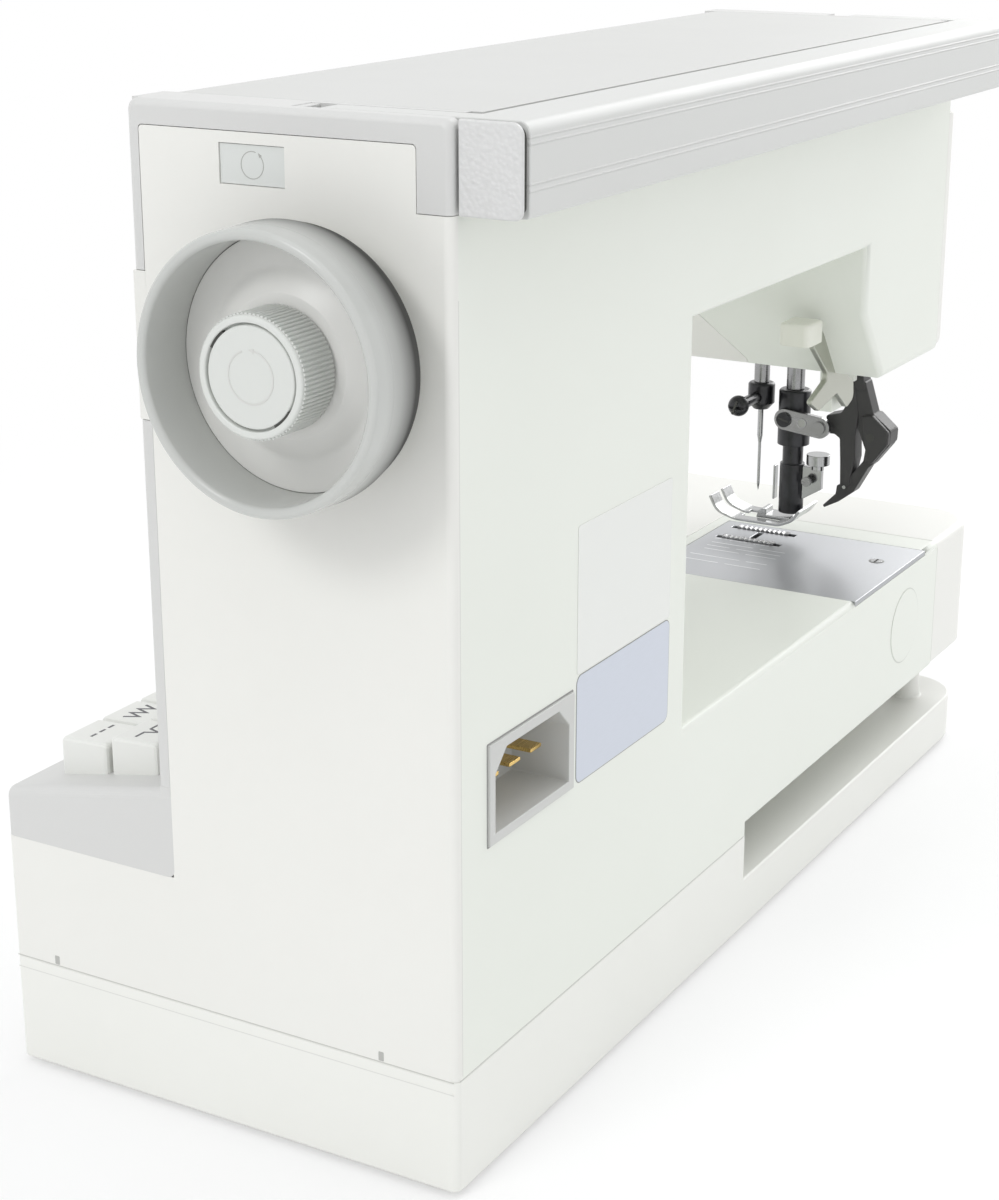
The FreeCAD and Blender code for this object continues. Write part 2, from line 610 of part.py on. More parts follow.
def join(name, *pieces):
    """Fuse pieces into one, or gather separate ones."""
    fused = doc.addObject("Part::MultiFuse", name)
    fused.Shapes = list(pieces)
    fused.Refine = True
    return fused


def cut(name, base, *tools):
    """Take tools away from a piece."""
    result = doc.addObject("Part::Cut", name)
    result.Base = base
    result.Tool = tools[0] if len(tools) == 1 else join(name + "_tools", *tools)
    result.Refine = True
    return result


def common(name, first, second):
    """Keep what two pieces share."""
    result = doc.addObject("Part::Common", name)
    result.Base = first
    result.Tool = second
    return result


def outline(body, name, role, corners):
    """A closed sketch whose corners are tied to the sheet."""
    sketch = body.newObject("Sketcher::SketchObject", name)
    plane = next(item for item in body.Origin.OriginFeatures if item.Role == role)
    sketch.AttachmentSupport = (plane, [""])
    sketch.MapMode = "FlatFace"
    sizes = [(as_size(corner[0]), as_size(corner[1])) for corner in corners]
    points = [Vector(u.value, v.value, 0) for u, v in sizes]
    count = len(points)
    for index in range(count):
        sketch.addGeometry(Part.LineSegment(points[index], points[(index + 1) % count]))
    for index in range(count):
        sketch.addConstraint(Sketcher.Constraint("Coincident", index, 2, (index + 1) % count, 1))
    for index, pair in enumerate(sizes):
        for kind, size in zip(("DistanceX", "DistanceY"), pair):
            rule = Sketcher.Constraint(kind, -1, 1, index, 1, size.value)
            bind(sketch, f"Constraints[{sketch.addConstraint(rule)}]", size)
    return sketch


def within(box_low, box_high, value):
    """Whether an edge's extent shrinks to one value."""
    return abs(box_low - value) < TOUCH and abs(box_high - value) < TOUCH


def extent(edge, axis):
    """An edge's lowest and highest place on an axis."""
    bounds = edge.BoundBox
    return {
        "x": (bounds.XMin, bounds.XMax),
        "y": (bounds.YMin, bounds.YMax),
        "z": (bounds.ZMin, bounds.ZMax),
    }[axis]


def flat_at(edge, **places):
    """Whether an edge lies at the given places, such as z=top."""
    return all(within(*extent(edge, axis), as_size(size).value) for axis, size in places.items())


def soften(body, base, radius, test):
    """Round the edges of a body that pass a test."""
    doc.recompute()
    names = [f"Edge{n}" for n, edge in enumerate(base.Shape.Edges, start=1) if test(edge)]
    fillet = body.newObject("PartDesign::Fillet", base.Name + "_round")
    fillet.Base = (base, names)
    bind(fillet, "Radius", radius)
    return fillet


def rounded(name, base, radius, test):
    """Round the edges of a finished piece that pass a test."""
    doc.recompute()
    fillet = doc.addObject("Part::Fillet", name)
    fillet.Base = base
    size = as_size(radius).value
    edges = enumerate(base.Shape.Edges, start=1)
    fillet.Edges = [(n, size, size) for n, edge in edges if test(edge)]
    return fillet


def prism(name, axis, corners, span):
    """An outline drawn out along an axis; a corner's third value rounds it."""
    body = doc.addObject("PartDesign::Body", name)
    sketch = outline(body, name + "_outline", PLANES[axis], corners)
    bind(sketch, "AttachmentOffset.Base.z", -span[1] if axis == "y" else span[0])
    tip = body.newObject("PartDesign::Pad", name + "_pad")
    tip.Profile = sketch
    bind(tip, "Length", span[1] - span[0])
    across = [other for other in AXES if other != axis]
    for u, v, radius in [corner for corner in corners if len(corner) > 2]:
        spot = dict(zip(across, (u, v)))
        tip = soften(body, tip, radius, lambda edge, spot=spot: flat_at(edge, **spot))
    return body


def slab(name, x, y, z, radii):
    """A block with rounded upright edges: front near, front far, rear far, rear near."""
    places = ((x[1], y[0]), (x[0], y[0]), (x[0], y[1]), (x[1], y[1]))
    corners = [(u, v) if r is None else (u, v, r) for (u, v), r in zip(places, radii)]
    return prism(name, "z", corners, z)


def lathe(name, axis, centre, profile):
    """A profile of (radius, place on the axis) turned about an axis; a third value rounds it."""
    body = doc.addObject("PartDesign::Body", name)
    sketch = outline(body, name + "_profile", "XZ_Plane", profile)
    tip = body.newObject("PartDesign::Revolution", name + "_turn")
    tip.Profile = sketch
    tip.ReferenceAxis = (sketch, ["V_Axis"])
    tip.Angle = FULL_TURN
    for radius, spot, fillet in [corner for corner in profile if len(corner) > 2]:
        reach = as_size(radius)
        tip = soften(body, tip, fillet, lambda edge, reach=reach, spot=spot: (
            flat_at(edge, z=spot) and abs(extent(edge, "x")[1] - reach.value) < TOUCH))
    place(body, axis, centre, as_size(0))
    return body


def flutes(body, name, radius, pitch_radius, count, span):
    """Cut evenly spaced round flutes along a turned body's rim."""
    sketch = body.newObject("Sketcher::SketchObject", name)
    plane = next(item for item in body.Origin.OriginFeatures if item.Role == "XY_Plane")
    sketch.AttachmentSupport = (plane, [""])
    sketch.MapMode = "FlatFace"
    bind(sketch, "AttachmentOffset.Base.z", span[1])
    sketch.addGeometry(Part.Circle(Vector(pitch_radius.value, 0, 0), Vector(0, 0, 1), radius.value))
    bore = sketch.addConstraint(Sketcher.Constraint("Radius", 0, radius.value))
    bind(sketch, f"Constraints[{bore}]", radius)
    reach = sketch.addConstraint(Sketcher.Constraint("DistanceX", -1, 1, 0, 3, pitch_radius.value))
    bind(sketch, f"Constraints[{reach}]", pitch_radius)
    sketch.addConstraint(Sketcher.Constraint("PointOnObject", 0, 3, -1))
    groove = body.newObject("PartDesign::Pocket", name + "_cut")
    groove.Profile = sketch
    bind(groove, "Length", span[1] - span[0])
    doc.recompute()
    axis = next(item for item in body.Origin.OriginFeatures if item.Role == "Z_Axis")
    ring = body.newObject("PartDesign::PolarPattern", name + "_ring")
    ring.Originals = [groove]
    ring.Axis = (axis, [""])
    ring.Angle = FULL_TURN
    bind(ring, "Occurrences", count)
    body.Tip = ring


# Lines that several pieces share
main_axis = (deep(d.shaft_deep), d.shaft_height)
lower_axis = (deep(d.shaft_deep), d.lower_height)
hook_axis = (deep(d.needle_deep), d.lower_height)
needle_axis = (along(d.needle_out), deep(d.needle_deep))
presser_axis = (along(d.needle_out), deep(d.presser_deep))
front_depth = d.column_depth + d.cover
head_inner = d.head_far - d.face_skin
bail_axis = (deep(d.bail_pivot_deep), d.top_height - d.bail_height / 2)
lid_axis = (deep(d.lid_pivot_deep), d.top_height - d.lid_plate)
bail_far = d.head_far - d.bail_width
bail_near = d.bail_gap + d.bail_width
wall_near = bail_near + d.running_gap
wall_far = bail_far - d.running_gap
lid_near = wall_near + d.thin_wall + d.running_gap
lid_far = wall_far - d.thin_wall - d.running_gap


def cheek(name, back, grow):
    """The part of the head that belongs to the front cover, as a wedge seen from the end."""
    edge = d.cheek_deep - grow
    rise = d.cheek_low + d.cheek_rise * (d.column_depth - edge)
    corners = [
        (deep(edge), d.head_low - PAST),
        (deep(front_depth + PAST), d.head_low - PAST),
        (deep(front_depth + PAST), back),
        (deep(d.column_depth), back),
        (deep(d.column_depth), rise),
        (deep(edge), d.cheek_low),
    ]
    return prism(name, "x", corners, (along(d.head_far + PAST), along(d.head_near - PAST)))


def head_outline(near_grow, low):
    """The head's near side, from the underside up to the arm, moved in by a wall."""
    return [
        (along(d.head_near_low + near_grow), low),
        (along(d.head_near + near_grow), d.head_slope + near_grow / 2),
    ]


def shaft_rib(name, distance, reach_front, low, high):
    """A rib across the casting that carries a bush."""
    return box(
        name,
        (along(distance + d.web / 2), along(distance - d.web / 2)),
        (deep(reach_front), deep(d.skin / 2)),
        (low, high),
    )


def base_tray():
    """Tray with a high rim under the column and a low floor under the free arm."""
    high = slab("base_high", (along(d.base_step), x_end), (y_front, y_back),
                (d.foot_height, d.base_rim), (d.edge_round, None, None, d.edge_round))
    low = slab("base_flat", (along(d.base_length), along(d.base_step)), (y_front, y_back),
               (d.foot_height, d.base_low), (None, d.base_corner, d.base_corner, None))
    peg_axis = (along(d.peg_out), deep(d.peg_deep))
    peg = taper("base_peg", "z", peg_axis, (d.base_low, d.base_low + d.peg_height), d.peg_radius, d.peg_tip)
    inner = d.base_corner - d.base_wall
    inner_y = (y_front + d.base_wall, y_back - d.base_wall)
    floor = d.foot_height + d.base_wall
    high_room = box("base_high_room", (along(d.base_step - d.base_wall), x_end - d.base_wall), inner_y,
                    (floor, d.base_rim + PAST))
    low_x = (along(d.base_length - d.base_wall), along(d.base_step - PAST - d.base_wall))
    low_room = slab("base_low_room", low_x, inner_y, (floor, d.base_low - d.base_wall),
                    (None, inner, inner, None))
    shell = cut("base_shell", join("base_solid", high, low), high_room, low_room)
    return join("base_tray", shell, peg)


def rubber_feet():
    """Four discs under the base."""
    discs = []
    for out in (d.foot_inset, d.base_length - d.foot_inset):
        for depth in (d.foot_inset, d.base_depth - d.foot_inset):
            discs.append(rod(f"foot_{len(discs) + 1}", "z", (along(out), deep(depth)),
                             (as_size(0), d.foot_height), d.foot_radius))
    return join("rubber_feet", *discs)


def main_casting():
    """Column, arm, head and free arm as one painted shell, with ribs for the shafts."""
    right = along(d.end_skin)
    far = along(head_inner)
    step = along(d.base_step + PAST)
    leg_side = along(d.bail_gap - d.running_gap + d.seam)
    leg_foot = d.frame_rear_low - d.seam
    skin_corners = [
        (right, d.base_rim),
        (right, leg_foot),
        (leg_side, leg_foot),
        (leg_side, d.back_top),
        (far, d.back_top),
        (far, d.head_low),
        *head_outline(as_size(0), d.head_low),
        (along(d.head_near), d.arm_low),
        (along(d.column_width), d.arm_low),
        (along(d.column_width), d.bed_height),
        (along(d.arm_end), d.bed_height),
        (along(d.arm_end), d.arm_under),
        (step, d.arm_under),
        (step, d.base_rim),
    ]
    solid = prism("casting_solid", "y", skin_corners, (deep(d.column_depth), y_back))
    plain = (d.base_rim, leg_foot, d.back_top)
    smooth = rounded("casting_smooth", solid, d.edge_round, lambda edge: (
        flat_at(edge, y=y_back)
        and not any(flat_at(edge, z=height) for height in plain)
        and not any(flat_at(edge, x=place) for place in (right, leg_side, far, along(d.arm_end)))))
    inner_corners = [
        (x_end + PAST, d.base_rim - PAST),
        (x_end + PAST, d.deck_height - d.skin),
        (far - PAST, d.deck_height - d.skin),
        (far - PAST, d.head_low + d.skin),
        *head_outline(d.skin, d.head_low + d.skin),
        (along(d.head_near + d.skin), d.arm_low + d.skin),
        (along(d.column_width - d.skin), d.arm_low + d.skin),
        (along(d.column_width - d.skin), d.base_rim - PAST),
    ]
    inner_y = (deep(d.column_depth + PAST), deep(d.skin))
    room = prism("casting_room", "y", inner_corners, inner_y)
    above = box("casting_above", (far - PAST, x_end), inner_y, (d.deck_height, d.back_top + PAST))
    arm_front = box("casting_arm_front", (along(d.arm_end + PAST), along(d.column_width)),
                    (deep(d.column_depth + PAST), deep(d.arm_depth)),
                    (d.base_rim - PAST, d.bed_height + PAST))
    arm_room = box("casting_arm_room", (along(d.arm_end + PAST), along(d.column_width - d.skin - PAST)),
                   (deep(d.arm_depth - d.skin), deep(d.skin)),
                   (d.arm_under + d.skin, d.bed_height - d.bed_skin))
    seat = box("casting_plate_seat", (along(d.plate_far), along(d.plate_near)),
               (deep(d.plate_depth), y_back + PAST), (d.bed_height - d.plate_thick, d.bed_height + PAST))
    well = box("casting_plate_well",
               (along(d.plate_far - d.plate_ledge), along(d.plate_near + d.plate_ledge)),
               (deep(d.plate_depth - d.plate_ledge), deep(d.skin + d.plate_ledge)),
               (d.bed_height - d.bed_skin - PAST, d.bed_height))
    needle_room = box("casting_needle_room", (needle_axis[0] - d.swing_room, needle_axis[0] + d.swing_room),
                      (needle_axis[1] - d.swing_room, needle_axis[1] + d.swing_room / 2),
                      (d.head_low - PAST, d.head_low + d.skin + PAST))
    socket = box("casting_inlet_room", (along(d.inlet_far), along(d.inlet_near)),
                 (deep(d.skin + PAST), y_back + PAST), (d.inlet_low, d.inlet_high))
    front_cheek = cheek("casting_cheek_room", as_size(d.frame_front_low), d.seam)
    shell = cut("casting_shell", smooth, room, above, arm_front, arm_room, seat, well, needle_room, socket,
                front_cheek)
    ceiling = d.deck_height - d.skin / 2
    bed_floor = d.arm_under + d.skin / 2
    bed_roof = d.bed_height - d.bed_skin / 2
    reach = d.shaft_deep + d.bush_radius + d.web
    low_reach = d.arm_depth - d.skin / 2
    ribs = [
        shaft_rib("rib_column", d.web_column, reach, d.shaft_height - d.bush_radius - d.web, ceiling),
        shaft_rib("rib_arm", d.web_arm, reach, d.arm_low + d.skin / 2, ceiling),
        shaft_rib("rib_head", d.web_head, d.takeup_deep + d.takeup_boss + d.web,
                  d.shaft_height - d.bush_radius - d.web, ceiling),
        shaft_rib("rib_low", d.web_column, reach, d.lower_height - d.bush_radius - d.web,
                  d.lower_height + d.bush_radius + d.web),
        shaft_rib("rib_bed", d.web_bed, low_reach, bed_floor, bed_roof),
        shaft_rib("rib_hook", d.web_hook, low_reach, bed_floor, bed_roof),
    ]
    half = d.lug_width / 2
    lug_x = (needle_axis[0] - half, needle_axis[0] + half)
    cradle_lug = box("lug_cradle", lug_x, (deep(d.lug_near), deep(d.lug_near - d.lug_thick)),
                     (d.cradle_top - d.cradle_boss - d.web, ceiling))
    guide_y = (deep(d.presser_deep + d.presser_radius + d.thin_wall), deep(d.skin / 2))
    guide = box("lug_presser", lug_x, guide_y, (d.guide_low, d.guide_low + d.guide_thick))
    boss = rod("lug_presser_low", "z", presser_axis, (d.head_low + d.skin / 2, d.head_low + d.skin + d.web),
               d.presser_radius + d.thin_wall)
    lifter_x = (along(d.lifter_out + d.lifter_boss), along(d.lifter_out - d.lifter_boss))
    lifter_front = d.lifter_deep + d.lifter_thick + d.running_gap
    lifter_lug = box("lug_lifter", lifter_x, (deep(lifter_front + d.lifter_lug), deep(lifter_front)),
                     (d.lifter_height - d.lifter_boss, d.head_low + d.skin / 2))
    dual_lugs = []
    for side in (-1, 1):
        inside = needle_axis[0] + (d.dual_width / 2 + d.running_gap) * side
        outside = inside + d.dual_lug * side
        span = (outside, inside) if side < 0 else (inside, outside)
        dual_lugs.append(box(f"lug_dual_{side + 2}", span,
                             (deep(d.dual_pin_deep + d.dual_pin * 2), deep(d.dual_pin_deep - d.dual_pin * 2)),
                             (d.dual_pin_height - d.dual_pin * 2, d.head_low + d.skin / 2)))
    solid_shell = join("casting_ribbed", shell, *ribs, cradle_lug, guide, boss, lifter_lug, *dual_lugs)
    through = d.shaft_fit
    holes = [
        rod("hole_main", "x", main_axis, (along(d.web_head + d.web), x_end), d.bush_radius + through),
        rod("hole_lower", "x", lower_axis, (along(d.web_hook + d.web), x_end), d.bush_radius + through),
        rod("hole_hook", "x", hook_axis, (along(d.web_hook + d.web), along(d.web_hook - d.web)),
            d.hook_shaft + through),
        rod("hole_takeup", "x", (deep(d.takeup_deep), d.takeup_height),
            (along(d.web_head + d.web), along(d.web_head - d.web)), d.takeup_boss / 2 + through),
        rod("hole_cradle", "y", (needle_axis[0], d.cradle_top - d.cradle_boss / 2),
            (deep(d.lug_near + PAST), deep(d.lug_near - d.lug_thick - PAST)), d.cradle_stub + through),
        rod("hole_presser", "z", presser_axis, (d.head_low - PAST, d.guide_low + d.guide_thick + PAST),
            d.presser_radius + through),
        rod("hole_lifter", "y", (along(d.lifter_out), d.lifter_height),
            (deep(lifter_front + d.lifter_lug + PAST), deep(lifter_front - PAST)), d.lifter_pin + through),
        rod("hole_dual", "x", (deep(d.dual_pin_deep), d.dual_pin_height),
            (needle_axis[0] - d.dual_width, needle_axis[0] + d.dual_width), d.dual_pin + through),
        box("hole_dual_top", (needle_axis[0] - d.dual_width / 2 - d.running_gap,
                              needle_axis[0] + d.dual_width / 2 + d.running_gap),
            (deep(d.dual_pin_deep + d.dual_width), deep(d.dual_pin_deep - d.dual_width)),
            (d.head_low - PAST, d.head_low + d.skin + PAST)),
    ]
    return cut("main_casting", solid_shell, *holes)


def end_cover():
    """Panel over the handwheel end, with a recess for the direction plate."""
    corners = [
        (y_back, d.base_rim),
        (y_back, d.frame_rear_low - d.seam),
        (deep(d.frame_rear_width + d.seam), d.frame_rear_low - d.seam),
        (deep(d.frame_rear_width + d.seam), d.frame_low, d.frame_round),
        (deep(d.column_depth), d.frame_low, d.frame_round),
        (deep(d.column_depth), d.console_low, d.console_corner),
        (y_front, d.console_low),
        (y_front, d.base_rim),
    ]
    panel = prism("end_panel", "x", corners, (along(d.end_skin), x_end))
    soft = rounded("end_panel_soft", panel, d.edge_round, lambda edge: (
        flat_at(edge, x=x_end, y=y_back) or flat_at(edge, x=x_end, y=y_front)))
    passage = rod("end_passage", "x", main_axis, (along(d.end_skin + PAST), x_end + PAST), d.shaft_radius * 2)
    recess = box("end_recess", (x_end - d.window_recess, x_end + PAST),
                 (deep(d.window_far), deep(d.window_near)), (d.window_low, d.window_high))
    return cut("end_cover", soft, passage, recess)


def direction_plate():
    """Small plate let into the end cover."""
    gap = d.seam
    return box("direction_plate", (x_end - d.window_recess, x_end - d.window_recess + d.window_plate),
               (deep(d.window_far - gap), deep(d.window_near + gap)),
               (d.window_low + gap, d.window_high - gap))


def front_cover():
    """Front of column, arm and head, with the cheek under the head and the box under the console."""
    top = d.frame_front_low - d.seam
    far = along(head_inner)
    inner = along(d.panel_width + d.seam)
    face_corners = [
        (x_end, d.panel_top + d.seam),
        (x_end, top),
        (far, top),
        (far, d.head_low),
        *head_outline(as_size(0), d.head_low),
        (along(d.head_near), d.arm_low),
        (along(d.column_width), d.arm_low),
        (along(d.column_width), d.console_low),
        (inner, d.console_low),
        (inner, d.panel_top + d.seam),
    ]
    face = prism("front_face", "y", face_corners, (deep(front_depth), deep(d.column_depth)))
    head_corners = [
        (far, d.arm_low + d.web),
        (far, d.head_low),
        *head_outline(as_size(0), d.head_low),
        (along(d.head_near), d.arm_low + d.web),
    ]
    head_y = (deep(front_depth), deep(d.cheek_deep))
    wedge = common("front_wedge", prism("front_head", "y", head_corners, head_y),
                   cheek("front_cheek", top, as_size(0)))
    room_corners = [
        (far - PAST, d.arm_low + d.web + PAST),
        (far - PAST, d.head_low + d.thin_wall),
        *head_outline(d.thin_wall, d.head_low + d.thin_wall),
        (along(d.head_near + d.thin_wall), d.arm_low + d.web + PAST),
    ]
    room = prism("front_head_room", "y", room_corners, (deep(d.column_depth), deep(d.cheek_deep - PAST)))
    needle_room = box("front_needle_room", (needle_axis[0] - d.swing_room, needle_axis[0] + d.swing_room),
                      (needle_axis[1] - d.swing_room, needle_axis[1] + d.swing_room),
                      (d.head_low - PAST, d.head_low + d.skin + PAST))
    presser_room = rod("front_presser_room", "z", presser_axis,
                       (d.head_low - PAST, d.head_low + d.skin + d.web + PAST),
                       d.presser_radius + d.thin_wall + d.running_gap)
    hull = cut("front_cheek_shell", wedge, room, needle_room, presser_room)
    step_x = (along(d.column_width), along(d.end_skin))
    step_y = (y_front, deep(d.column_depth))
    step = box("front_step", step_x, step_y, (d.base_rim, d.console_low))
    step_room = box("front_step_room", (step_x[0] + d.thin_wall, step_x[1] - d.thin_wall),
                    (step_y[0] + d.thin_wall, step_y[1] - d.thin_wall),
                    (d.base_rim - PAST, d.console_low - d.thin_wall))
    joined = join("front_joined", face, hull, cut("front_step_shell", step, step_room))
    slot_x = d.takeup_out + d.takeup_thick / 2
    slot = box("front_slot", (along(slot_x + d.takeup_slot / 2), along(slot_x - d.takeup_slot / 2)),
               (deep(front_depth + PAST), deep(d.column_depth - PAST)),
               (d.takeup_slot_low, d.takeup_slot_high))
    tension = rod("front_tension_hole", "y", (along(d.tension_out), d.tension_height),
                  (deep(front_depth + PAST), deep(d.column_depth - PAST)), d.dial_shaft + d.shaft_fit)
    half_x = d.reverse_width / 2 + d.running_gap
    half_z = d.reverse_tall / 2 + d.running_gap
    key_room = box("front_key_room", (along(d.reverse_out) - half_x, along(d.reverse_out) + half_x),
                   (deep(front_depth + PAST), deep(d.column_depth - PAST)),
                   (d.reverse_height - half_z, d.reverse_height + half_z))
    return cut("front_cover", joined, slot, tension, key_room)


def control_panel():
    """Grey panel on the column that carries the stitch dials."""
    panel = slab("panel_plate", (along(d.panel_width), x_end), (deep(front_depth), deep(d.column_depth)),
                 (d.panel_low, d.panel_top), (d.small_round, d.small_round, None, None))
    holes = []
    for height in (d.length_dial_height, d.width_dial_height):
        holes.append(rod(f"panel_hole_{len(holes) + 1}", "y", (along(d.dial_out), height),
                         (deep(front_depth + PAST), deep(d.column_depth - PAST)), d.dial_shaft + d.shaft_fit))
    return cut("control_panel", panel, *holes)


def console_height(depth):
    """Height of the console's sloping top at a depth."""
    fall = (d.panel_low - d.console_front) / (d.base_depth - d.column_depth)
    return d.panel_low - fall * (depth - d.column_depth)


def key_spots():
    """Place of each stitch key: name, near edge along the console, front edge in depth."""
    spots = []
    for row in range(2):
        for column in range(3):
            spots.append((f"stitch_key_{len(spots) + 1}", d.key_out + d.key_pitch_x * column,
                          d.key_front - d.key_pitch_y * row))
    return spots


def key_console():
    """Sloping grey console with openings for the keys."""
    corners = [
        (y_front, d.console_low),
        (deep(d.column_depth), d.console_low, d.console_corner),
        (deep(d.column_depth), d.panel_low - d.seam),
        (y_front, d.console_front, d.console_round),
    ]
    span = (along(d.column_width), x_end)
    solid = prism("console_solid", "x", corners, span)
    soft = rounded("console_soft", solid, d.console_edge, lambda edge: (
        flat_at(edge, x=x_end) and edge.BoundBox.ZMin > d.console_low.value + TOUCH
        and edge.BoundBox.YMin < deep(d.column_depth).value - TOUCH))
    wall = d.thin_wall
    inner = [
        (y_front + wall, d.console_low - PAST),
        (deep(d.column_depth + wall), d.console_low - PAST),
        (deep(d.column_depth + wall), console_height(d.column_depth + wall) - wall),
        (y_front + wall, console_height(d.base_depth - wall) - wall),
    ]
    room = prism("console_room", "x", inner, (span[0] + wall, span[1] - wall))
    strip = box("console_strip_room", (span[0] - PAST, along(d.panel_width)),
                (deep(front_depth + d.seam), deep(d.column_depth) + PAST),
                (d.console_low - PAST, d.panel_low + PAST))
    gap = d.running_gap
    openings = [strip]
    for name, near, front in key_spots():
        openings.append(box(f"{name}_room", (along(near + d.key_length + gap), along(near - gap)),
                            (deep(front + gap), deep(front - d.key_depth - gap)),
                            (d.console_low + wall, d.panel_low + PAST)))
    return cut("key_console", soft, room, *openings)


def stitch_keys():
    """Rocker-shaped keys that follow the console's slope."""
    keys = []
    for name, near, front in key_spots():
        back = front - d.key_depth
        corners = [
            (deep(front), console_height(front) - d.key_sunk),
            (deep(back), console_height(front) - d.key_sunk),
            (deep(back), console_height(back) + d.key_proud, d.small_round),
            (deep(front), console_height(front) + d.key_proud, d.small_round),
        ]
        keys.append(prism(name, "x", corners, (along(near + d.key_length), along(near))))
    return keys


def head_cover():
    """Cover over the far end of the head."""
    far = along(d.head_far)
    corners = [
        (deep(front_depth), d.head_low, d.face_corner),
        (y_back, d.head_low, d.face_corner),
        (y_back, d.deck_height),
        (deep(front_depth), d.deck_height),
    ]
    near = along(head_inner)
    solid = prism("face_solid", "x", corners, (far, near))
    soft = rounded("face_soft", solid, d.edge_round, lambda edge: (
        flat_at(edge, x=far) and edge.BoundBox.ZMin < d.deck_height.value - TOUCH))
    wall = d.thin_wall
    room = box("face_room", (far + wall, near + PAST), (deep(front_depth - wall), deep(wall)),
               (d.head_low + wall, d.deck_height - wall))
    return cut("head_cover", soft, room)


def top_tray():
    """Tray under the lid, its end frame, and the pivots of the handle."""
    top = d.top_height
    frame_corners = [
        (y_back, d.frame_rear_low),
        (y_back, top, d.frame_corner),
        (deep(front_depth), top, d.frame_corner),
        (deep(front_depth), d.frame_front_low),
        (deep(d.column_depth + d.seam), d.frame_front_low),
        (deep(d.column_depth + d.seam), d.frame_low + d.seam, d.frame_round),
        (deep(d.frame_rear_width), d.frame_low + d.seam, d.frame_round),
        (deep(d.frame_rear_width), d.frame_rear_low),
    ]
    inside = deep(d.skin + d.seam)
    end_inner = d.bail_gap - d.running_gap
    legs = prism("tray_frame_legs", "x", frame_corners, (along(end_inner), x_end))
    outer = top - d.frame_corner
    frame = rounded("tray_frame", legs, d.frame_edge, lambda edge: (
        flat_at(edge, x=x_end) and edge.BoundBox.ZMax > outer.value - TOUCH))
    floor = box("tray_floor", (along(head_inner), along(d.end_skin)), (deep(d.column_depth), inside),
                (d.deck_height, d.deck_height + d.thin_wall))
    end_wall = box("tray_end_wall", (along(end_inner), along(d.end_skin)), (deep(d.column_depth), inside),
                   (d.deck_height, top))
    near_wall = box("tray_near_wall", (along(wall_near + d.thin_wall), along(wall_near)),
                    (deep(d.column_depth), inside), (d.deck_height, top))
    far_wall = box("tray_far_wall", (along(wall_far), along(wall_far - d.thin_wall)),
                   (deep(d.column_depth), inside), (d.deck_height, top))
    front = deep(d.bail_pivot_deep + d.bail_height)
    near_block = box("tray_near_block", (along(wall_near), along(end_inner)), (deep(d.column_depth), front),
                     (d.frame_low, top))
    far_block = box("tray_far_block", (along(d.head_far), along(wall_far)), (deep(d.column_depth), front),
                    (d.deck_height, top))
    brow_y = (deep(front_depth), deep(d.column_depth))
    brow_z = (d.frame_front_low, top)
    near_front = box("tray_near_front", (along(wall_near + d.thin_wall), along(d.end_skin)), brow_y, brow_z)
    far_front = box("tray_far_front", (along(head_inner), along(wall_far - d.thin_wall)), brow_y, brow_z)
    far_brow = box("tray_far_brow", (along(d.head_far), along(head_inner)), brow_y, (d.deck_height, top))
    sill = box("tray_sill", (along(wall_far), along(wall_near)),
               (deep(d.column_depth), deep(d.column_depth - d.thin_wall)),
               (d.deck_height, top - d.lid_plate - d.seam))
    stubs = [
        rod("tray_stub_near", "x", bail_axis, (along(wall_near + d.thin_wall / 2), along(end_inner - d.seam)),
            d.pivot_radius),
        rod("tray_stub_far", "x", bail_axis,
            (along(d.head_far - d.thin_wall), along(wall_far - d.thin_wall / 2)), d.pivot_radius),
    ]
    solid = join("tray_solid", frame, floor, end_wall, near_wall, far_wall, near_block, far_block,
                 near_front, far_front, far_brow, sill, *stubs)
    lid_x = (along(wall_far - d.thin_wall / 2), along(wall_near + d.thin_wall / 2))
    lid_holes = rod("tray_lid_holes", "x", lid_axis, lid_x, d.pivot_radius / 2 + d.shaft_fit)
    winder = rod("tray_winder_hole", "z", (along(d.winder_out), deep(d.winder_deep)),
                 (d.deck_height - PAST, d.deck_height + d.thin_wall + PAST), d.winder_spindle + d.shaft_fit)
    return cut("top_tray", solid, lid_holes, winder)


def hinged_lid():
    """Lid over the tray, with a skirt down the front."""
    top = d.top_height
    corners = [
        (deep(front_depth), d.frame_front_low),
        (deep(front_depth - d.thin_wall), d.frame_front_low),
        (deep(front_depth - d.thin_wall), top - d.lid_plate),
        (deep(d.lid_rear), top - d.lid_plate),
        (deep(d.lid_rear), top),
        (deep(front_depth), top, d.lid_round),
    ]
    plate = prism("lid_plate_solid", "x", corners, (along(lid_far), along(lid_near)))
    reach = d.thin_wall / 2 + d.running_gap
    pin_x = (along(lid_far + reach), along(lid_near - reach))
    pins = rod("lid_pins", "x", lid_axis, pin_x, d.pivot_radius / 2)
    return join("hinged_lid", plate, pins)


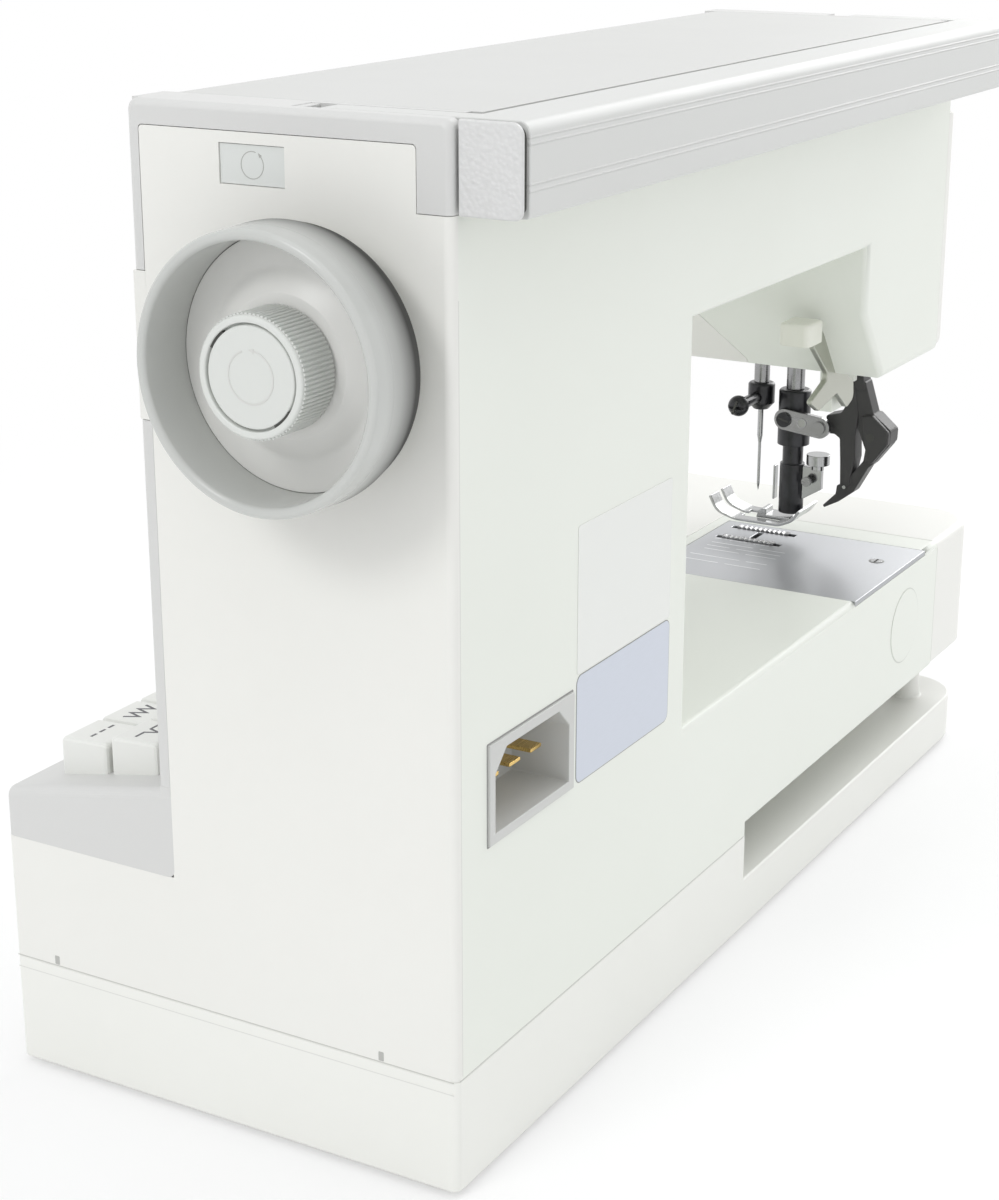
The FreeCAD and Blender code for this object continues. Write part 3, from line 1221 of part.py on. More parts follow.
def carrying_handle():
    """Bail whose grip lies along the top of the rear wall."""
    top = d.top_height
    bar_x = (along(d.head_far), along(d.bail_gap))
    bar_y = (deep(-d.running_gap), deep(-d.handle_reach))
    far_edge = deep(-d.handle_reach)
    corners = [
        (bar_y[0], d.bar_low),
        (far_edge, d.bar_low, d.small_round),
        (far_edge, top, d.bar_round),
        (bar_y[0], top),
    ]
    grip = prism("handle_grip", "x", corners, bar_x)
    arm_y = (bail_axis[0], bar_y[0] + d.bail_width / 4)
    arm_z = (top - d.bail_height, top)
    pieces = [grip]
    holes = []
    arms = {"near": (along(bail_near), along(d.bail_gap)), "far": (along(d.head_far), along(bail_far))}
    for side, span in arms.items():
        pieces.append(box(f"handle_arm_{side}", span, arm_y, arm_z))
        pieces.append(rod(f"handle_eye_{side}", "x", bail_axis, span, d.bail_height / 2))
        holes.append(rod(f"handle_bore_{side}", "x", bail_axis, (span[0] - PAST, span[1] + PAST),
                         d.pivot_radius + d.shaft_fit))
    return cut("carrying_handle", join("handle_solid", *pieces), *holes)


def handwheel():
    """Deep rim with a back plate and a hub."""
    back = x_end + d.wheel_gap
    plate = back + d.wheel_plate
    front = x_end + d.wheel_front
    return lathe("handwheel", "x", main_axis, [
        (d.shaft_radius + d.shaft_fit, back),
        (d.wheel_radius, back, d.rim_round),
        (d.wheel_radius, front, d.lip_round),
        (d.wheel_bore, front, d.lip_round),
        (d.wheel_bore, plate),
        (d.wheel_hub, plate),
        (d.wheel_hub, x_end + d.dish_front),
        (d.shaft_radius + d.shaft_fit, x_end + d.dish_front),
    ])


def handwheel_web():
    """Dished insert inside the rim, with a raised boss."""
    back = x_end + d.wheel_gap + d.wheel_plate
    edge = back + d.dish_edge
    inner = d.wheel_hub + d.shaft_fit
    return lathe("handwheel_web", "x", main_axis, [
        (inner, back),
        (d.wheel_bore - d.seam, back),
        (d.wheel_bore - d.seam, edge, d.small_round),
        (d.dish_boss + d.dish_round, edge + d.small_round, d.dish_round),
        (d.dish_boss, x_end + d.dish_front),
        (inner, x_end + d.dish_front),
    ])


def release_knob():
    """Knurled knob with a raised disc on its face."""
    back = x_end + d.dish_front + d.running_gap
    front = x_end + d.wheel_reach
    shoulder = front - d.knob_step
    knob = lathe("release_knob", "x", main_axis, [
        (d.knob_bore, back),
        (d.knob_radius, back),
        (d.knob_radius, shoulder, d.knob_step),
        (d.knob_face, shoulder),
        (d.knob_face, front, d.knob_step / 2),
        (as_size(0), front),
        (as_size(0), shoulder - d.knob_step * 2),
        (d.knob_bore, shoulder - d.knob_step * 2),
    ])
    pitch = d.knob_radius + d.knurl_radius / 2
    flutes(knob, "knob_flute", d.knurl_radius, pitch, d.knurl_count, (back, shoulder))
    return knob


def main_shaft():
    """Shaft from the handwheel to the crank, with a collar that carries the release knob."""
    knob_back = x_end + d.dish_front + d.running_gap
    shaft = rod("main_shaft_bar", "x", main_axis, (along(d.crank_out), x_end + d.dish_front), d.shaft_radius)
    nose = rod("main_shaft_nose", "x", main_axis,
               (x_end + d.dish_front, knob_back + d.knob_bore - d.running_gap), d.knob_bore - d.shaft_fit)
    return join("main_shaft", shaft, nose)


def shaft_bushes():
    """Bushes of the main and lower shafts in the casting's ribs."""
    pieces = []
    rows = [(out, main_axis, d.shaft_radius) for out in (d.web_column, d.web_arm, d.web_head)]
    rows += [(out, lower_axis, d.lower_radius) for out in (d.web_column, d.web_bed, d.web_hook)]
    for number, (out, axis, radius) in enumerate(rows, start=1):
        half = d.bush_length / 2 if number < len(rows) else d.web / 2
        span = (along(out + half), along(out - half))
        sleeve = rod(f"bush_{number}_sleeve", "x", axis, span, d.bush_radius)
        bore = rod(f"bush_{number}_bore", "x", axis, (span[0] - PAST, span[1] + PAST), radius + d.shaft_fit)
        pieces.append(cut(f"bush_{number}", sleeve, bore))
    return join("shaft_bushes", *pieces)


def pulley(name, axis, out, radius, flange_radius, bore):
    """Flanged belt pulley."""
    half = d.pulley_width / 2
    low = along(out + half)
    high = along(out - half)
    return lathe(name, "x", axis, [
        (bore, low),
        (flange_radius, low),
        (flange_radius, low + d.flange / 2),
        (radius, low + d.flange / 2),
        (radius, high - d.flange / 2),
        (flange_radius, high - d.flange / 2),
        (flange_radius, high),
        (bore, high),
    ])


def belt(name, out, first, first_radius, second, second_radius):
    """Belt round two pulleys: straight runs tangent to two arcs."""
    start = Vector(0, first[0].value, first[1].value)
    end = Vector(0, second[0].value, second[1].value)
    run = end - start
    distance = run.Length
    ahead = run.normalize()
    side = Vector(1, 0, 0).cross(ahead)

    def loop(grow):
        small = first_radius.value + grow
        large = second_radius.value + grow
        lean = (small - large) / distance
        rise = math.sqrt(1 - lean * lean)
        left = ahead * lean + side * rise
        right = ahead * lean - side * rise
        arc_first = Part.Arc(start + right * small, start - ahead * small, start + left * small)
        arc_second = Part.Arc(end + left * large, end + ahead * large, end + right * large)
        runs = [
            Part.LineSegment(start + left * small, end + left * large),
            Part.LineSegment(end + right * large, start + right * small),
        ]
        edges = [arc_first.toShape(), runs[0].toShape(), arc_second.toShape(), runs[1].toShape()]
        return Part.Face(Part.Wire(edges))

    inner = d.running_gap.value
    band = loop(inner + d.belt_thick.value).cut(loop(inner))
    strip = doc.addObject("Part::Feature", name)
    strip.Shape = band.extrude(Vector(d.belt_width.value, 0, 0))
    strip.Placement = Placement(Vector(along(out + d.belt_width / 2).value, 0, 0), Rotation())
    return strip


def motor():
    """Motor that stands against the column's inner wall."""
    near = along(d.motor_out)
    far = along(d.column_width - d.skin)
    bore = d.motor_shaft + d.shaft_fit
    depth = d.motor_pulley_radius * 2
    return lathe("motor", "x", (deep(d.motor_deep), d.motor_height), [
        (as_size(0), far),
        (d.motor_radius, far),
        (d.motor_radius, near, d.edge_round),
        (bore, near),
        (bore, near - depth),
        (as_size(0), near - depth),
    ])


def motor_pulley():
    """Small pulley with the motor's shaft."""
    half = d.pulley_width / 2
    low = along(d.drive_out + half)
    high = along(d.drive_out - half)
    depth = d.motor_pulley_radius * 2 - d.running_gap
    flange = d.motor_pulley_radius + d.flange
    return lathe("motor_pulley", "x", (deep(d.motor_deep), d.motor_height), [
        (as_size(0), along(d.motor_out) - depth),
        (d.motor_shaft, along(d.motor_out) - depth),
        (d.motor_shaft, low),
        (flange, low),
        (flange, low + d.flange / 2),
        (d.motor_pulley_radius, low + d.flange / 2),
        (d.motor_pulley_radius, high - d.flange / 2),
        (flange, high - d.flange / 2),
        (flange, high),
        (as_size(0), high),
    ])


def gear(name, axis, teeth, turn, bore):
    """Spur gear whose tooth spaces are cut one by one round the rim."""
    pitch = d.tooth_module * teeth / 2
    tip = pitch + d.tooth_module * d.tooth_tip
    root = pitch - d.tooth_module * d.tooth_root
    half = d.gear_width / 2
    low = along(d.gear_out + half)
    high = along(d.gear_out - half)
    body = doc.addObject("PartDesign::Body", name)
    profile = outline(body, name + "_blank", "XZ_Plane", [(bore, low), (tip, low), (tip, high), (bore, high)])
    blank = body.newObject("PartDesign::Revolution", name + "_turn")
    blank.Profile = profile
    blank.ReferenceAxis = (profile, ["V_Axis"])
    blank.Angle = FULL_TURN
    space = outline(body, name + "_space", "XY_Plane", [
        (root, -d.tooth_module * d.space_root),
        (tip + d.tooth_module, -d.tooth_module * d.space_tip),
        (tip + d.tooth_module, d.tooth_module * d.space_tip),
        (root, d.tooth_module * d.space_root),
    ])
    bind(space, "AttachmentOffset.Base.z", high + PAST)
    groove = body.newObject("PartDesign::Pocket", name + "_groove")
    groove.Profile = space
    bind(groove, "Length", d.gear_width + PAST * 2)
    doc.recompute()
    line = next(item for item in body.Origin.OriginFeatures if item.Role == "Z_Axis")
    ring = body.newObject("PartDesign::PolarPattern", name + "_ring")
    ring.Originals = [groove]
    ring.Axis = (line, [""])
    ring.Angle = FULL_TURN
    bind(ring, "Occurrences", teeth)
    body.Tip = ring
    place(body, "x", axis, as_size(0))
    spin = Rotation(Vector(0, 0, 1), turn)
    body.Placement = Placement(body.Placement.Base, TURNS["x"].multiply(spin))
    return body


def rotary_hook():
    """Open cup with its pinion and shaft."""
    wall_in = d.hook_radius - d.hook_wall
    floor = along(d.hook_near + d.hook_floor)
    near = along(d.hook_near)
    far = along(d.hook_far)
    stem = along(d.web_hook - d.web)
    cup = lathe("hook_cup", "x", hook_axis, [
        (as_size(0), floor),
        (wall_in, floor),
        (wall_in, far),
        (d.hook_radius, far),
        (d.hook_radius, near, d.edge_round),
        (d.hook_shaft, near),
        (d.hook_shaft, stem),
        (as_size(0), stem),
    ])
    pinion = gear("hook_pinion", hook_axis, d.pinion_teeth, QUARTER_TURN, d.hook_shaft - d.shaft_fit)
    notch = box("hook_notch", (far - PAST, along(d.hook_near + d.hook_floor + d.hook_wall)),
                (hook_axis[0] + d.hook_radius / 2, hook_axis[0] + d.hook_radius + PAST),
                (hook_axis[1], hook_axis[1] + d.hook_radius / 2))
    return cut("rotary_hook", join("hook_solid", cup, pinion), notch)


def bobbin_case():
    """Cup that lies in the hook and holds the bobbin."""
    radius = d.hook_radius - d.hook_wall - d.running_gap
    inner = radius - d.hook_wall / 2
    floor = along(d.hook_near + d.hook_floor) - d.running_gap
    far = along(d.hook_far)
    return lathe("bobbin_case", "x", hook_axis, [
        (as_size(0), floor),
        (as_size(0), far),
        (d.case_boss, far),
        (d.case_boss, floor - d.hook_wall),
        (inner, floor - d.hook_wall),
        (inner, far),
        (radius, far),
        (radius, floor),
    ])


def crank():
    """Disc with the crank pin that drives the needle bar."""
    near = along(d.crank_out)
    far = along(d.crank_out + d.crank_thick)
    disc = rod("crank_disc", "x", main_axis, (far, near), d.crank_radius)
    pin_axis = (main_axis[0], main_axis[1] + d.crank_throw)
    pin = rod("crank_stud", "x", pin_axis, (far - d.crank_pin_reach, far), d.crank_pin)
    return join("crank", disc, pin)


def needle_cradle():
    """Swinging frame that guides the needle bar."""
    top = (d.cradle_top - d.cradle_boss, d.cradle_top)
    low = (d.cradle_low, d.cradle_low + d.cradle_boss)
    bosses = []
    for span in (top, low):
        bosses.append(rod(f"cradle_boss_{len(bosses) + 1}", "z", needle_axis, span, d.cradle_radius))
    far_side = needle_axis[0] - d.cradle_radius
    bridge = box("cradle_bridge", (far_side, far_side + d.cradle_plate),
                 (needle_axis[1] - d.cradle_radius / 2, needle_axis[1] + d.cradle_radius / 2),
                 (d.cradle_low, d.cradle_top))
    stub = rod("cradle_stub_bar", "y", (needle_axis[0], d.cradle_top - d.cradle_boss / 2),
               (needle_axis[1] + d.cradle_radius / 2, deep(d.lug_near - d.lug_thick)), d.cradle_stub)
    solid = join("cradle_solid", *bosses, bridge, stub)
    bore = rod("cradle_bore", "z", needle_axis, (d.cradle_low - PAST, d.cradle_top + PAST),
               d.needle_bar_radius + d.shaft_fit)
    return cut("needle_cradle", solid, bore)


def needle_bar():
    """Round bar that carries the needle."""
    return rod("needle_bar", "z", needle_axis, (d.clamp_top, d.needle_bar_top), d.needle_bar_radius)


def needle_clamp():
    """Clamp at the foot of the needle bar, with its round-headed screw."""
    collar = lathe("clamp_collar", "z", needle_axis, [
        (d.needle_shank + d.shaft_fit, d.clamp_low),
        (d.needle_bar_radius, d.clamp_low),
        (d.clamp_radius, d.clamp_low + d.edge_round),
        (d.clamp_radius, d.clamp_top, d.small_round),
        (d.needle_shank + d.shaft_fit, d.clamp_top),
    ])
    height = d.clamp_top - d.clamp_radius
    head = needle_axis[0] + d.screw_reach
    stem = rod("clamp_stem", "x", (needle_axis[1], height), (needle_axis[0] + d.clamp_radius / 2, head),
               d.screw_stem)
    knob = ball("clamp_ball", (head, needle_axis[1], height), d.screw_ball)
    slot = box("clamp_slot", (head + d.screw_ball / 2, head + d.screw_ball * 2),
               (needle_axis[1] - d.screw_ball * 2, needle_axis[1] + d.screw_ball * 2),
               (height - d.needle_radius, height + d.needle_radius))
    return cut("needle_clamp", join("clamp_solid", collar, stem, knob), slot)


def needle():
    """Needle with its shank, blade and point."""
    return lathe("needle", "z", needle_axis, [
        (as_size(0), d.needle_tip),
        (d.needle_radius, d.needle_tip + d.needle_point),
        (d.needle_radius, d.needle_shank_low),
        (d.needle_shank, d.needle_shank_low + d.needle_point),
        (d.needle_shank, d.clamp_top),
        (as_size(0), d.clamp_top),
    ])


def take_up_lever():
    """Lever whose eye works in the slot of the front cover."""
    span = (along(d.takeup_out + d.takeup_thick), along(d.takeup_out))
    pivot = (deep(d.takeup_deep), d.takeup_height)
    tip = (pivot[0] - d.takeup_reach, pivot[1] + d.takeup_rise)
    half = d.takeup_eye
    blade = prism("takeup_blade", "x", [
        (pivot[0], pivot[1] - half),
        (pivot[0], pivot[1] + half),
        (tip[0], tip[1] + half),
        (tip[0], tip[1] - half),
    ], span)
    boss = rod("takeup_hub", "x", pivot, span, d.takeup_boss)
    eye = rod("takeup_ring", "x", tip, span, d.takeup_eye)
    stub = rod("takeup_stub", "x", pivot, (span[0], along(d.web_head - d.web / 2)), d.takeup_boss / 2)
    hole = rod("takeup_hole", "x", tip, (span[0] - PAST, span[1] + PAST), d.takeup_eye / 2)
    return cut("take_up_lever", join("takeup_solid", blade, boss, eye, stub), hole)


def foot_shank():
    """Black collar and shank under the presser bar."""
    return lathe("foot_shank", "z", presser_axis, [
        (as_size(0), d.shank_low),
        (d.sleeve_radius, d.shank_low),
        (d.sleeve_radius, d.sleeve_top),
        (d.shank_radius, d.sleeve_top),
        (d.shank_radius, d.collar_low),
        (d.collar_radius, d.collar_low),
        (d.collar_radius, d.collar_top, d.small_round),
        (as_size(0), d.collar_top),
    ])


def presser_bar():
    """Bar that presses the foot down."""
    return rod("presser_bar", "z", presser_axis, (d.collar_top, d.presser_top), d.presser_radius)


def presser_foot():
    """Chrome foot: curled toe, sole with a needle slot, and ankle."""
    sole = d.foot_sole
    top = sole + d.foot_thick
    bend = d.presser_deep + d.toe_bend
    curl = d.foot_toe - (d.foot_toe - bend) / 3
    flat_end = d.presser_deep + d.sole_end
    heel_bend = d.presser_deep - d.heel_bend
    side = prism("foot_side", "x", [
        (deep(d.foot_heel), sole + d.heel_rise),
        (deep(heel_bend), sole + d.heel_rise / 3),
        (deep(flat_end), sole),
        (deep(bend), sole),
        (deep(curl), sole + d.foot_curl / 3),
        (deep(d.foot_toe), sole + d.foot_curl),
        (deep(d.foot_toe - d.foot_thick), top + d.foot_curl),
        (deep(curl - d.foot_thick / 2), top + d.foot_curl / 3),
        (deep(bend), top),
        (deep(flat_end), top),
        (deep(heel_bend + d.foot_thick / 2), top + d.heel_rise / 3),
        (deep(d.foot_heel + d.foot_thick), top + d.heel_rise),
    ], (needle_axis[0] - d.foot_width / 2, needle_axis[0] + d.foot_width / 2))
    ankle_x = (needle_axis[0] - d.ankle_half, needle_axis[0] + d.ankle_half)
    knuckle_height = d.shank_low - d.seam - d.knuckle_radius
    knuckle = rod("foot_knuckle", "x", (presser_axis[1], knuckle_height), ankle_x, d.knuckle_radius)
    ankle = prism("foot_ankle", "x", [
        (deep(d.presser_deep - d.heel_bend), sole + d.heel_rise / 3),
        (presser_axis[1] + d.knuckle_radius, knuckle_height),
        (presser_axis[1] - d.knuckle_radius, knuckle_height),
        (deep(d.ankle_far), sole + d.foot_thick / 2),
    ], ankle_x)
    slot = box("foot_slot", (needle_axis[0] - d.foot_slot_x, needle_axis[0] + d.foot_slot_x),
               (needle_axis[1] - d.foot_slot_y, needle_axis[1] + d.foot_slot_y), (sole - PAST, d.shank_low))
    gap = box("foot_gap", (needle_axis[0] - d.toe_gap, needle_axis[0] + d.toe_gap),
              (deep(d.foot_toe + PAST), deep(d.toe_gap_deep)), (sole - PAST, top + d.foot_curl + PAST))
    heel_half = d.sleeve_radius + d.heel_play
    heel_room = box("foot_heel_room", (needle_axis[0] - heel_half, needle_axis[0] + heel_half),
                    (deep(d.presser_deep), deep(d.foot_heel - PAST)),
                    (d.shank_low - d.heel_play, top + d.heel_rise + PAST))
    return cut("presser_foot", join("foot_solid", side, ankle, knuckle), slot, gap, heel_room)


def foot_screw():
    """Thumb screw and bracket that hold the foot on its shank."""
    half = d.bracket_thick / 2
    plate = prism("screw_bracket", "x", [
        (deep(d.presser_deep - d.sleeve_radius), d.bracket_low),
        (deep(d.bracket_near), d.bracket_low + d.sleeve_radius),
        (deep(d.bracket_near), d.bracket_top),
        (deep(d.presser_deep - d.sleeve_radius), d.bracket_top),
    ], (presser_axis[0] - half, presser_axis[0] + half))
    stem = rod("screw_stem_bar", "z", (presser_axis[0], deep(d.foot_screw_deep)),
               (d.bracket_top - PAST, d.foot_screw_height + PAST), d.bracket_thick)
    head = rod("screw_head", "z", (presser_axis[0], deep(d.foot_screw_deep)),
               (d.foot_screw_height, d.foot_screw_height + d.foot_screw_head), d.foot_screw_radius)
    return join("foot_screw", plate, stem, head)


def dual_feed_link():
    """Flat link on the near side of the collar."""
    near = presser_axis[0] + d.collar_radius
    span = (near, near + d.link_thick)
    front = (deep(d.link_front), d.link_front_height)
    rear = (deep(d.link_rear), d.link_rear_height)
    bar = prism("link_bar", "x", [
        (front[0], front[1] - d.link_radius),
        (rear[0], rear[1] - d.link_radius),
        (rear[0], rear[1] + d.link_radius),
        (front[0], front[1] + d.link_radius),
    ], span)
    ends = [rod(f"link_end_{n}", "x", spot, span, d.link_radius) for n, spot in enumerate((front, rear), 1)]
    middle = ((front[0] + rear[0]) / 2, (front[1] + rear[1]) / 2)
    hole = rod("link_hole", "x", middle, (span[0] - PAST, span[1] + PAST), d.link_radius / 3)
    return cut("dual_feed_link", join("link_solid", bar, *ends), hole)


def dual_feed_arm():
    """Black arm that hangs behind the foot: an upright limb and a bent one that ends in a toe."""
    half = d.dual_width / 2
    span = (needle_axis[0] - half, needle_axis[0] + half)
    pin = (deep(d.dual_pin_deep), d.dual_pin_height)
    head = d.dual_pin * 2
    boss_front = deep(d.dual_front + d.dual_boss_reach)
    heel = deep(d.dual_inner_deep - d.dual_heel)
    shoulder = deep(d.dual_inner_deep - d.dual_shoulder)
    shape = prism("dual_shape", "x", [
        (pin[0] - head, pin[1]),
        (deep(d.dual_front - d.dual_neck), d.dual_boss_top + d.dual_neck_rise),
        (boss_front, d.dual_boss_top),
        (boss_front, d.dual_boss_low),
        (deep(d.dual_front), d.dual_boss_low),
        (deep(d.dual_front), d.dual_limb_low),
        (deep(d.dual_toe_deep), d.dual_toe_height),
        (deep(d.dual_front), d.dual_toe_height + d.dual_pin),
        (heel, d.bed_height + d.dual_heel_lift),
        (deep(d.dual_knee_deep), d.dual_knee_height - d.dual_pin),
        (deep(d.dual_knee_deep), d.dual_knee_height + d.dual_pin / 2),
        (shoulder, d.dual_knee_height + d.dual_shoulder_rise),
        (pin[0] + head, pin[1]),
    ], span)
    eye = rod("dual_eye", "x", pin, span, head)
    hollow = prism("dual_hollow", "x", [
        (deep(d.dual_rear), d.dual_hollow_top),
        (deep(d.dual_rear), d.dual_hollow_low),
        (deep(d.dual_inner_deep), d.dual_hollow_low + d.dual_pin),
        (deep(d.dual_inner_deep), d.dual_hollow_top - d.dual_pin),
    ], (span[0] - PAST, span[1] + PAST))
    pins = rod("dual_pin_bar", "x", pin, (span[0] - d.dual_lug, span[1] + d.dual_lug), d.dual_pin)
    return cut("dual_feed_arm", join("dual_solid", shape, eye, pins), hollow)


def lifter_lever():
    """Flat lever that lies along the head's sloping side when the foot is up."""
    rear = deep(d.lifter_deep)
    front = deep(d.lifter_deep + d.lifter_thick)
    pivot = (along(d.lifter_out), d.lifter_height)
    tip = (along(d.lifter_tip_out), d.lifter_tip_height)
    half = d.lifter_boss
    bend = d.head_low - d.lifter_gap * 2
    slant = (d.head_near_low - d.head_near) / (d.head_slope - d.head_low)
    wall = d.head_near_low - slant * (d.lifter_tip_height - d.head_low)
    blade = prism("lifter_blade", "y", [
        (pivot[0] - half, pivot[1]),
        (pivot[0] + half / 2, pivot[1] - half),
        (along(d.head_near_low - d.lifter_width), bend - d.lifter_width),
        (tip[0], tip[1] - d.cap_height + d.lifter_gap),
        (tip[0], tip[1] - d.lifter_gap),
        (along(wall - d.lifter_gap * 2), tip[1] - d.lifter_gap),
        (along(d.head_near_low), bend),
    ], (front, rear))
    boss = rod("lifter_hub", "y", pivot, (front, rear), d.lifter_boss)
    stub = rod("lifter_stub", "y", pivot, (front - d.running_gap - d.lifter_lug, front), d.lifter_pin)
    return join("lifter_lever", blade, boss, stub)


def lifter_cap():
    """Finger grip on the lifter's end."""
    near = along(d.lifter_tip_out)
    middle = deep(d.lifter_deep + d.lifter_thick / 2)
    solid = slab("cap_solid", (near, near + d.cap_length),
                 (middle - d.cap_depth / 2, middle + d.cap_depth / 2),
                 (d.lifter_tip_height - d.cap_height, d.lifter_tip_height),
                 (d.edge_round, d.small_round, d.small_round, d.edge_round))
    return rounded("lifter_cap", solid, d.small_round, lambda edge: flat_at(edge, z=d.lifter_tip_height))


def needle_plate():
    """Steel plate with the feed slots and the needle hole."""
    gap = d.seam
    plate = box("plate_blank", (along(d.plate_far - gap), along(d.plate_near + gap)),
                (deep(d.plate_depth - gap), y_back - gap), (d.bed_height - d.plate_thick, d.bed_height))
    through = (d.bed_height - d.plate_thick - PAST, d.bed_height + PAST)
    slots = []
    half = d.feed_width / 2 + d.running_gap
    length = d.feed_length / 2 + d.feed_travel + d.running_gap
    for place in feed_rows():
        slots.append(box(f"plate_slot_{len(slots) + 1}", (place - half, place + half),
                         (needle_axis[1] - length, needle_axis[1] + length), through))
    hole = box("plate_needle_hole", (needle_axis[0] - d.needle_hole_x, needle_axis[0] + d.needle_hole_x),
               (needle_axis[1] - d.needle_hole_y, needle_axis[1] + d.needle_hole_y), through)
    return cut("needle_plate", plate, hole, *slots)


def feed_rows():
    """X of the rows of feed teeth, to each side of the needle."""
    return [needle_axis[0] - d.feed_pitch, needle_axis[0] + d.feed_pitch]


def feed_dog():
    """Toothed rows on a bar under the needle plate."""
    top = d.bed_height + d.feed_rise
    bar_top = d.bed_height - d.plate_thick - d.running_gap
    half = d.feed_width / 2
    length = d.feed_length / 2
    rows = []
    for place in feed_rows():
        rows.append(box(f"feed_row_{len(rows) + 1}", (place - half, place + half),
                        (needle_axis[1] - length, needle_axis[1] + length), (bar_top - PAST, top)))
    bars = []
    bar_x = (needle_axis[0] - d.feed_pitch - half, needle_axis[0] + d.feed_pitch + half)
    for side in (-1, 1):
        edge = needle_axis[1] + length * side
        inner = edge - d.feed_bar_thick * side
        span = (edge, inner) if side < 0 else (inner, edge)
        bars.append(box(f"feed_bar_{side + 2}", bar_x, span, (bar_top - d.feed_bar_thick / 2, bar_top)))
    solid = join("feed_solid", *rows, *bars)
    grooves = []
    count = int(d.feed_length.value / d.tooth_pitch.value)
    for index in range(1, count):
        middle = needle_axis[1] - length + d.tooth_pitch * index
        grooves.append(prism(f"feed_groove_{index}", "x", [
            (middle, top - d.feed_rise),
            (middle + d.tooth_pitch / 3, top + d.seam),
            (middle - d.tooth_pitch / 3, top + d.seam),
        ], (needle_axis[0] - d.feed_pitch * 2, needle_axis[0] + d.feed_pitch * 2)))
    return cut("feed_dog", solid, *grooves)


def dial(name, out, height, radius, surface):
    """Fluted dial on a shaft through a front panel."""
    back = deep(surface + d.running_gap)
    front = deep(surface + d.running_gap + d.dial_length)
    knob = lathe(name, "y", (along(out), height), [
        (as_size(0), front),
        (radius - d.small_round, front),
        (radius, front + d.edge_round),
        (radius, back),
        (d.dial_shaft, back),
        (d.dial_shaft, deep(surface - d.cover - d.dial_shaft_length)),
        (as_size(0), deep(surface - d.cover - d.dial_shaft_length)),
    ])
    flutes(knob, name + "_flute", d.grip_radius, radius + d.grip_radius / 2, d.grip_count, (front, back))
    return knob


def reverse_key():
    """Push key on the front of the head."""
    half_x = d.reverse_width / 2
    half_z = d.reverse_tall / 2
    place = along(d.reverse_out)
    return prism("reverse_key", "y", [
        (place - half_x, d.reverse_height - half_z, d.edge_round),
        (place + half_x, d.reverse_height - half_z, d.edge_round),
        (place + half_x, d.reverse_height + half_z, d.edge_round),
        (place - half_x, d.reverse_height + half_z, d.edge_round),
    ], (deep(front_depth + d.reverse_proud), deep(d.column_depth - d.reverse_travel)))


def bobbin_winder():
    """Spindle in the tray that winds bobbins."""
    floor = d.deck_height + d.thin_wall + d.running_gap
    return lathe("bobbin_winder", "z", (along(d.winder_out), deep(d.winder_deep)), [
        (as_size(0), d.deck_height + d.running_gap),
        (d.winder_spindle, d.deck_height + d.running_gap),
        (d.winder_spindle, floor),
        (d.winder_disc, floor),
        (d.winder_disc, floor + d.winder_spindle),
        (d.winder_spindle, floor + d.winder_spindle),
        (d.winder_spindle, d.winder_top, d.small_round),
        (as_size(0), d.winder_top),
    ])


def power_inlet():
    """Recessed appliance inlet in the rear wall."""
    gap = d.seam
    x = (along(d.inlet_far - gap), along(d.inlet_near + gap))
    z = (d.inlet_low + gap, d.inlet_high - gap)
    shell = box("inlet_shell", x, (deep(d.inlet_depth), deep(-d.inlet_proud)), z)
    rim = d.inlet_rim
    key = d.inlet_key
    recess = prism("inlet_recess", "y", [
        (x[0] + rim, z[0] + rim),
        (x[1] - rim, z[0] + rim),
        (x[1] - rim, z[1] - rim - key),
        (x[1] - rim - key, z[1] - rim),
        (x[0] + rim + key, z[1] - rim),
        (x[0] + rim, z[1] - rim - key),
    ], (deep(d.inlet_depth - rim), deep(-d.inlet_proud - PAST)))
    return cut("power_inlet", shell, recess)


def inlet_pins():
    """Three brass blades in the inlet."""
    middle = (along(d.inlet_far) + along(d.inlet_near)) / 2
    floor = deep(d.inlet_depth - d.inlet_rim)
    level = (d.inlet_low + d.inlet_high) / 2
    step = (d.inlet_far - d.inlet_near) / 4
    blades = []
    for offset in (-1, 0, 1):
        x = middle + step * offset
        blades.append(box(f"blade_{offset + 2}", (x - d.blade_width / 2, x + d.blade_width / 2),
                          (floor, floor + d.blade_length), (level, level + d.blade_thick)))
    return join("inlet_pins", *blades)


def accessory_box():
    """Work support that wraps the front and the end of the free arm."""
    near = along(d.box_near)
    far = along(d.body_length)
    inner_y = deep(d.arm_depth + d.running_gap)
    inner_x = along(d.arm_end + d.running_gap)
    front = deep(d.box_front)

    def shape(name, inset, low, high, radius):
        return prism(name, "z", [
            (near - inset, front + inset),
            (far + inset, front + inset, radius),
            (far + inset, y_back - inset, radius),
            (inner_x - inset, y_back - inset),
            (inner_x - inset, inner_y - inset),
            (near - inset, inner_y - inset),
        ], (low, high))

    solid = shape("box_solid", as_size(0), d.box_low, d.bed_height, d.box_corner)
    soft = rounded("box_soft", solid, d.box_edge, lambda edge: (
        flat_at(edge, z=d.bed_height) and edge.BoundBox.XMin < inner_x.value - TOUCH
        and not flat_at(edge, x=inner_x) and not flat_at(edge, y=inner_y)))
    room = shape("box_room", d.thin_wall, d.box_low - PAST, d.bed_height - d.thin_wall,
                 d.box_corner - d.thin_wall)
    return cut("accessory_box", soft, room)


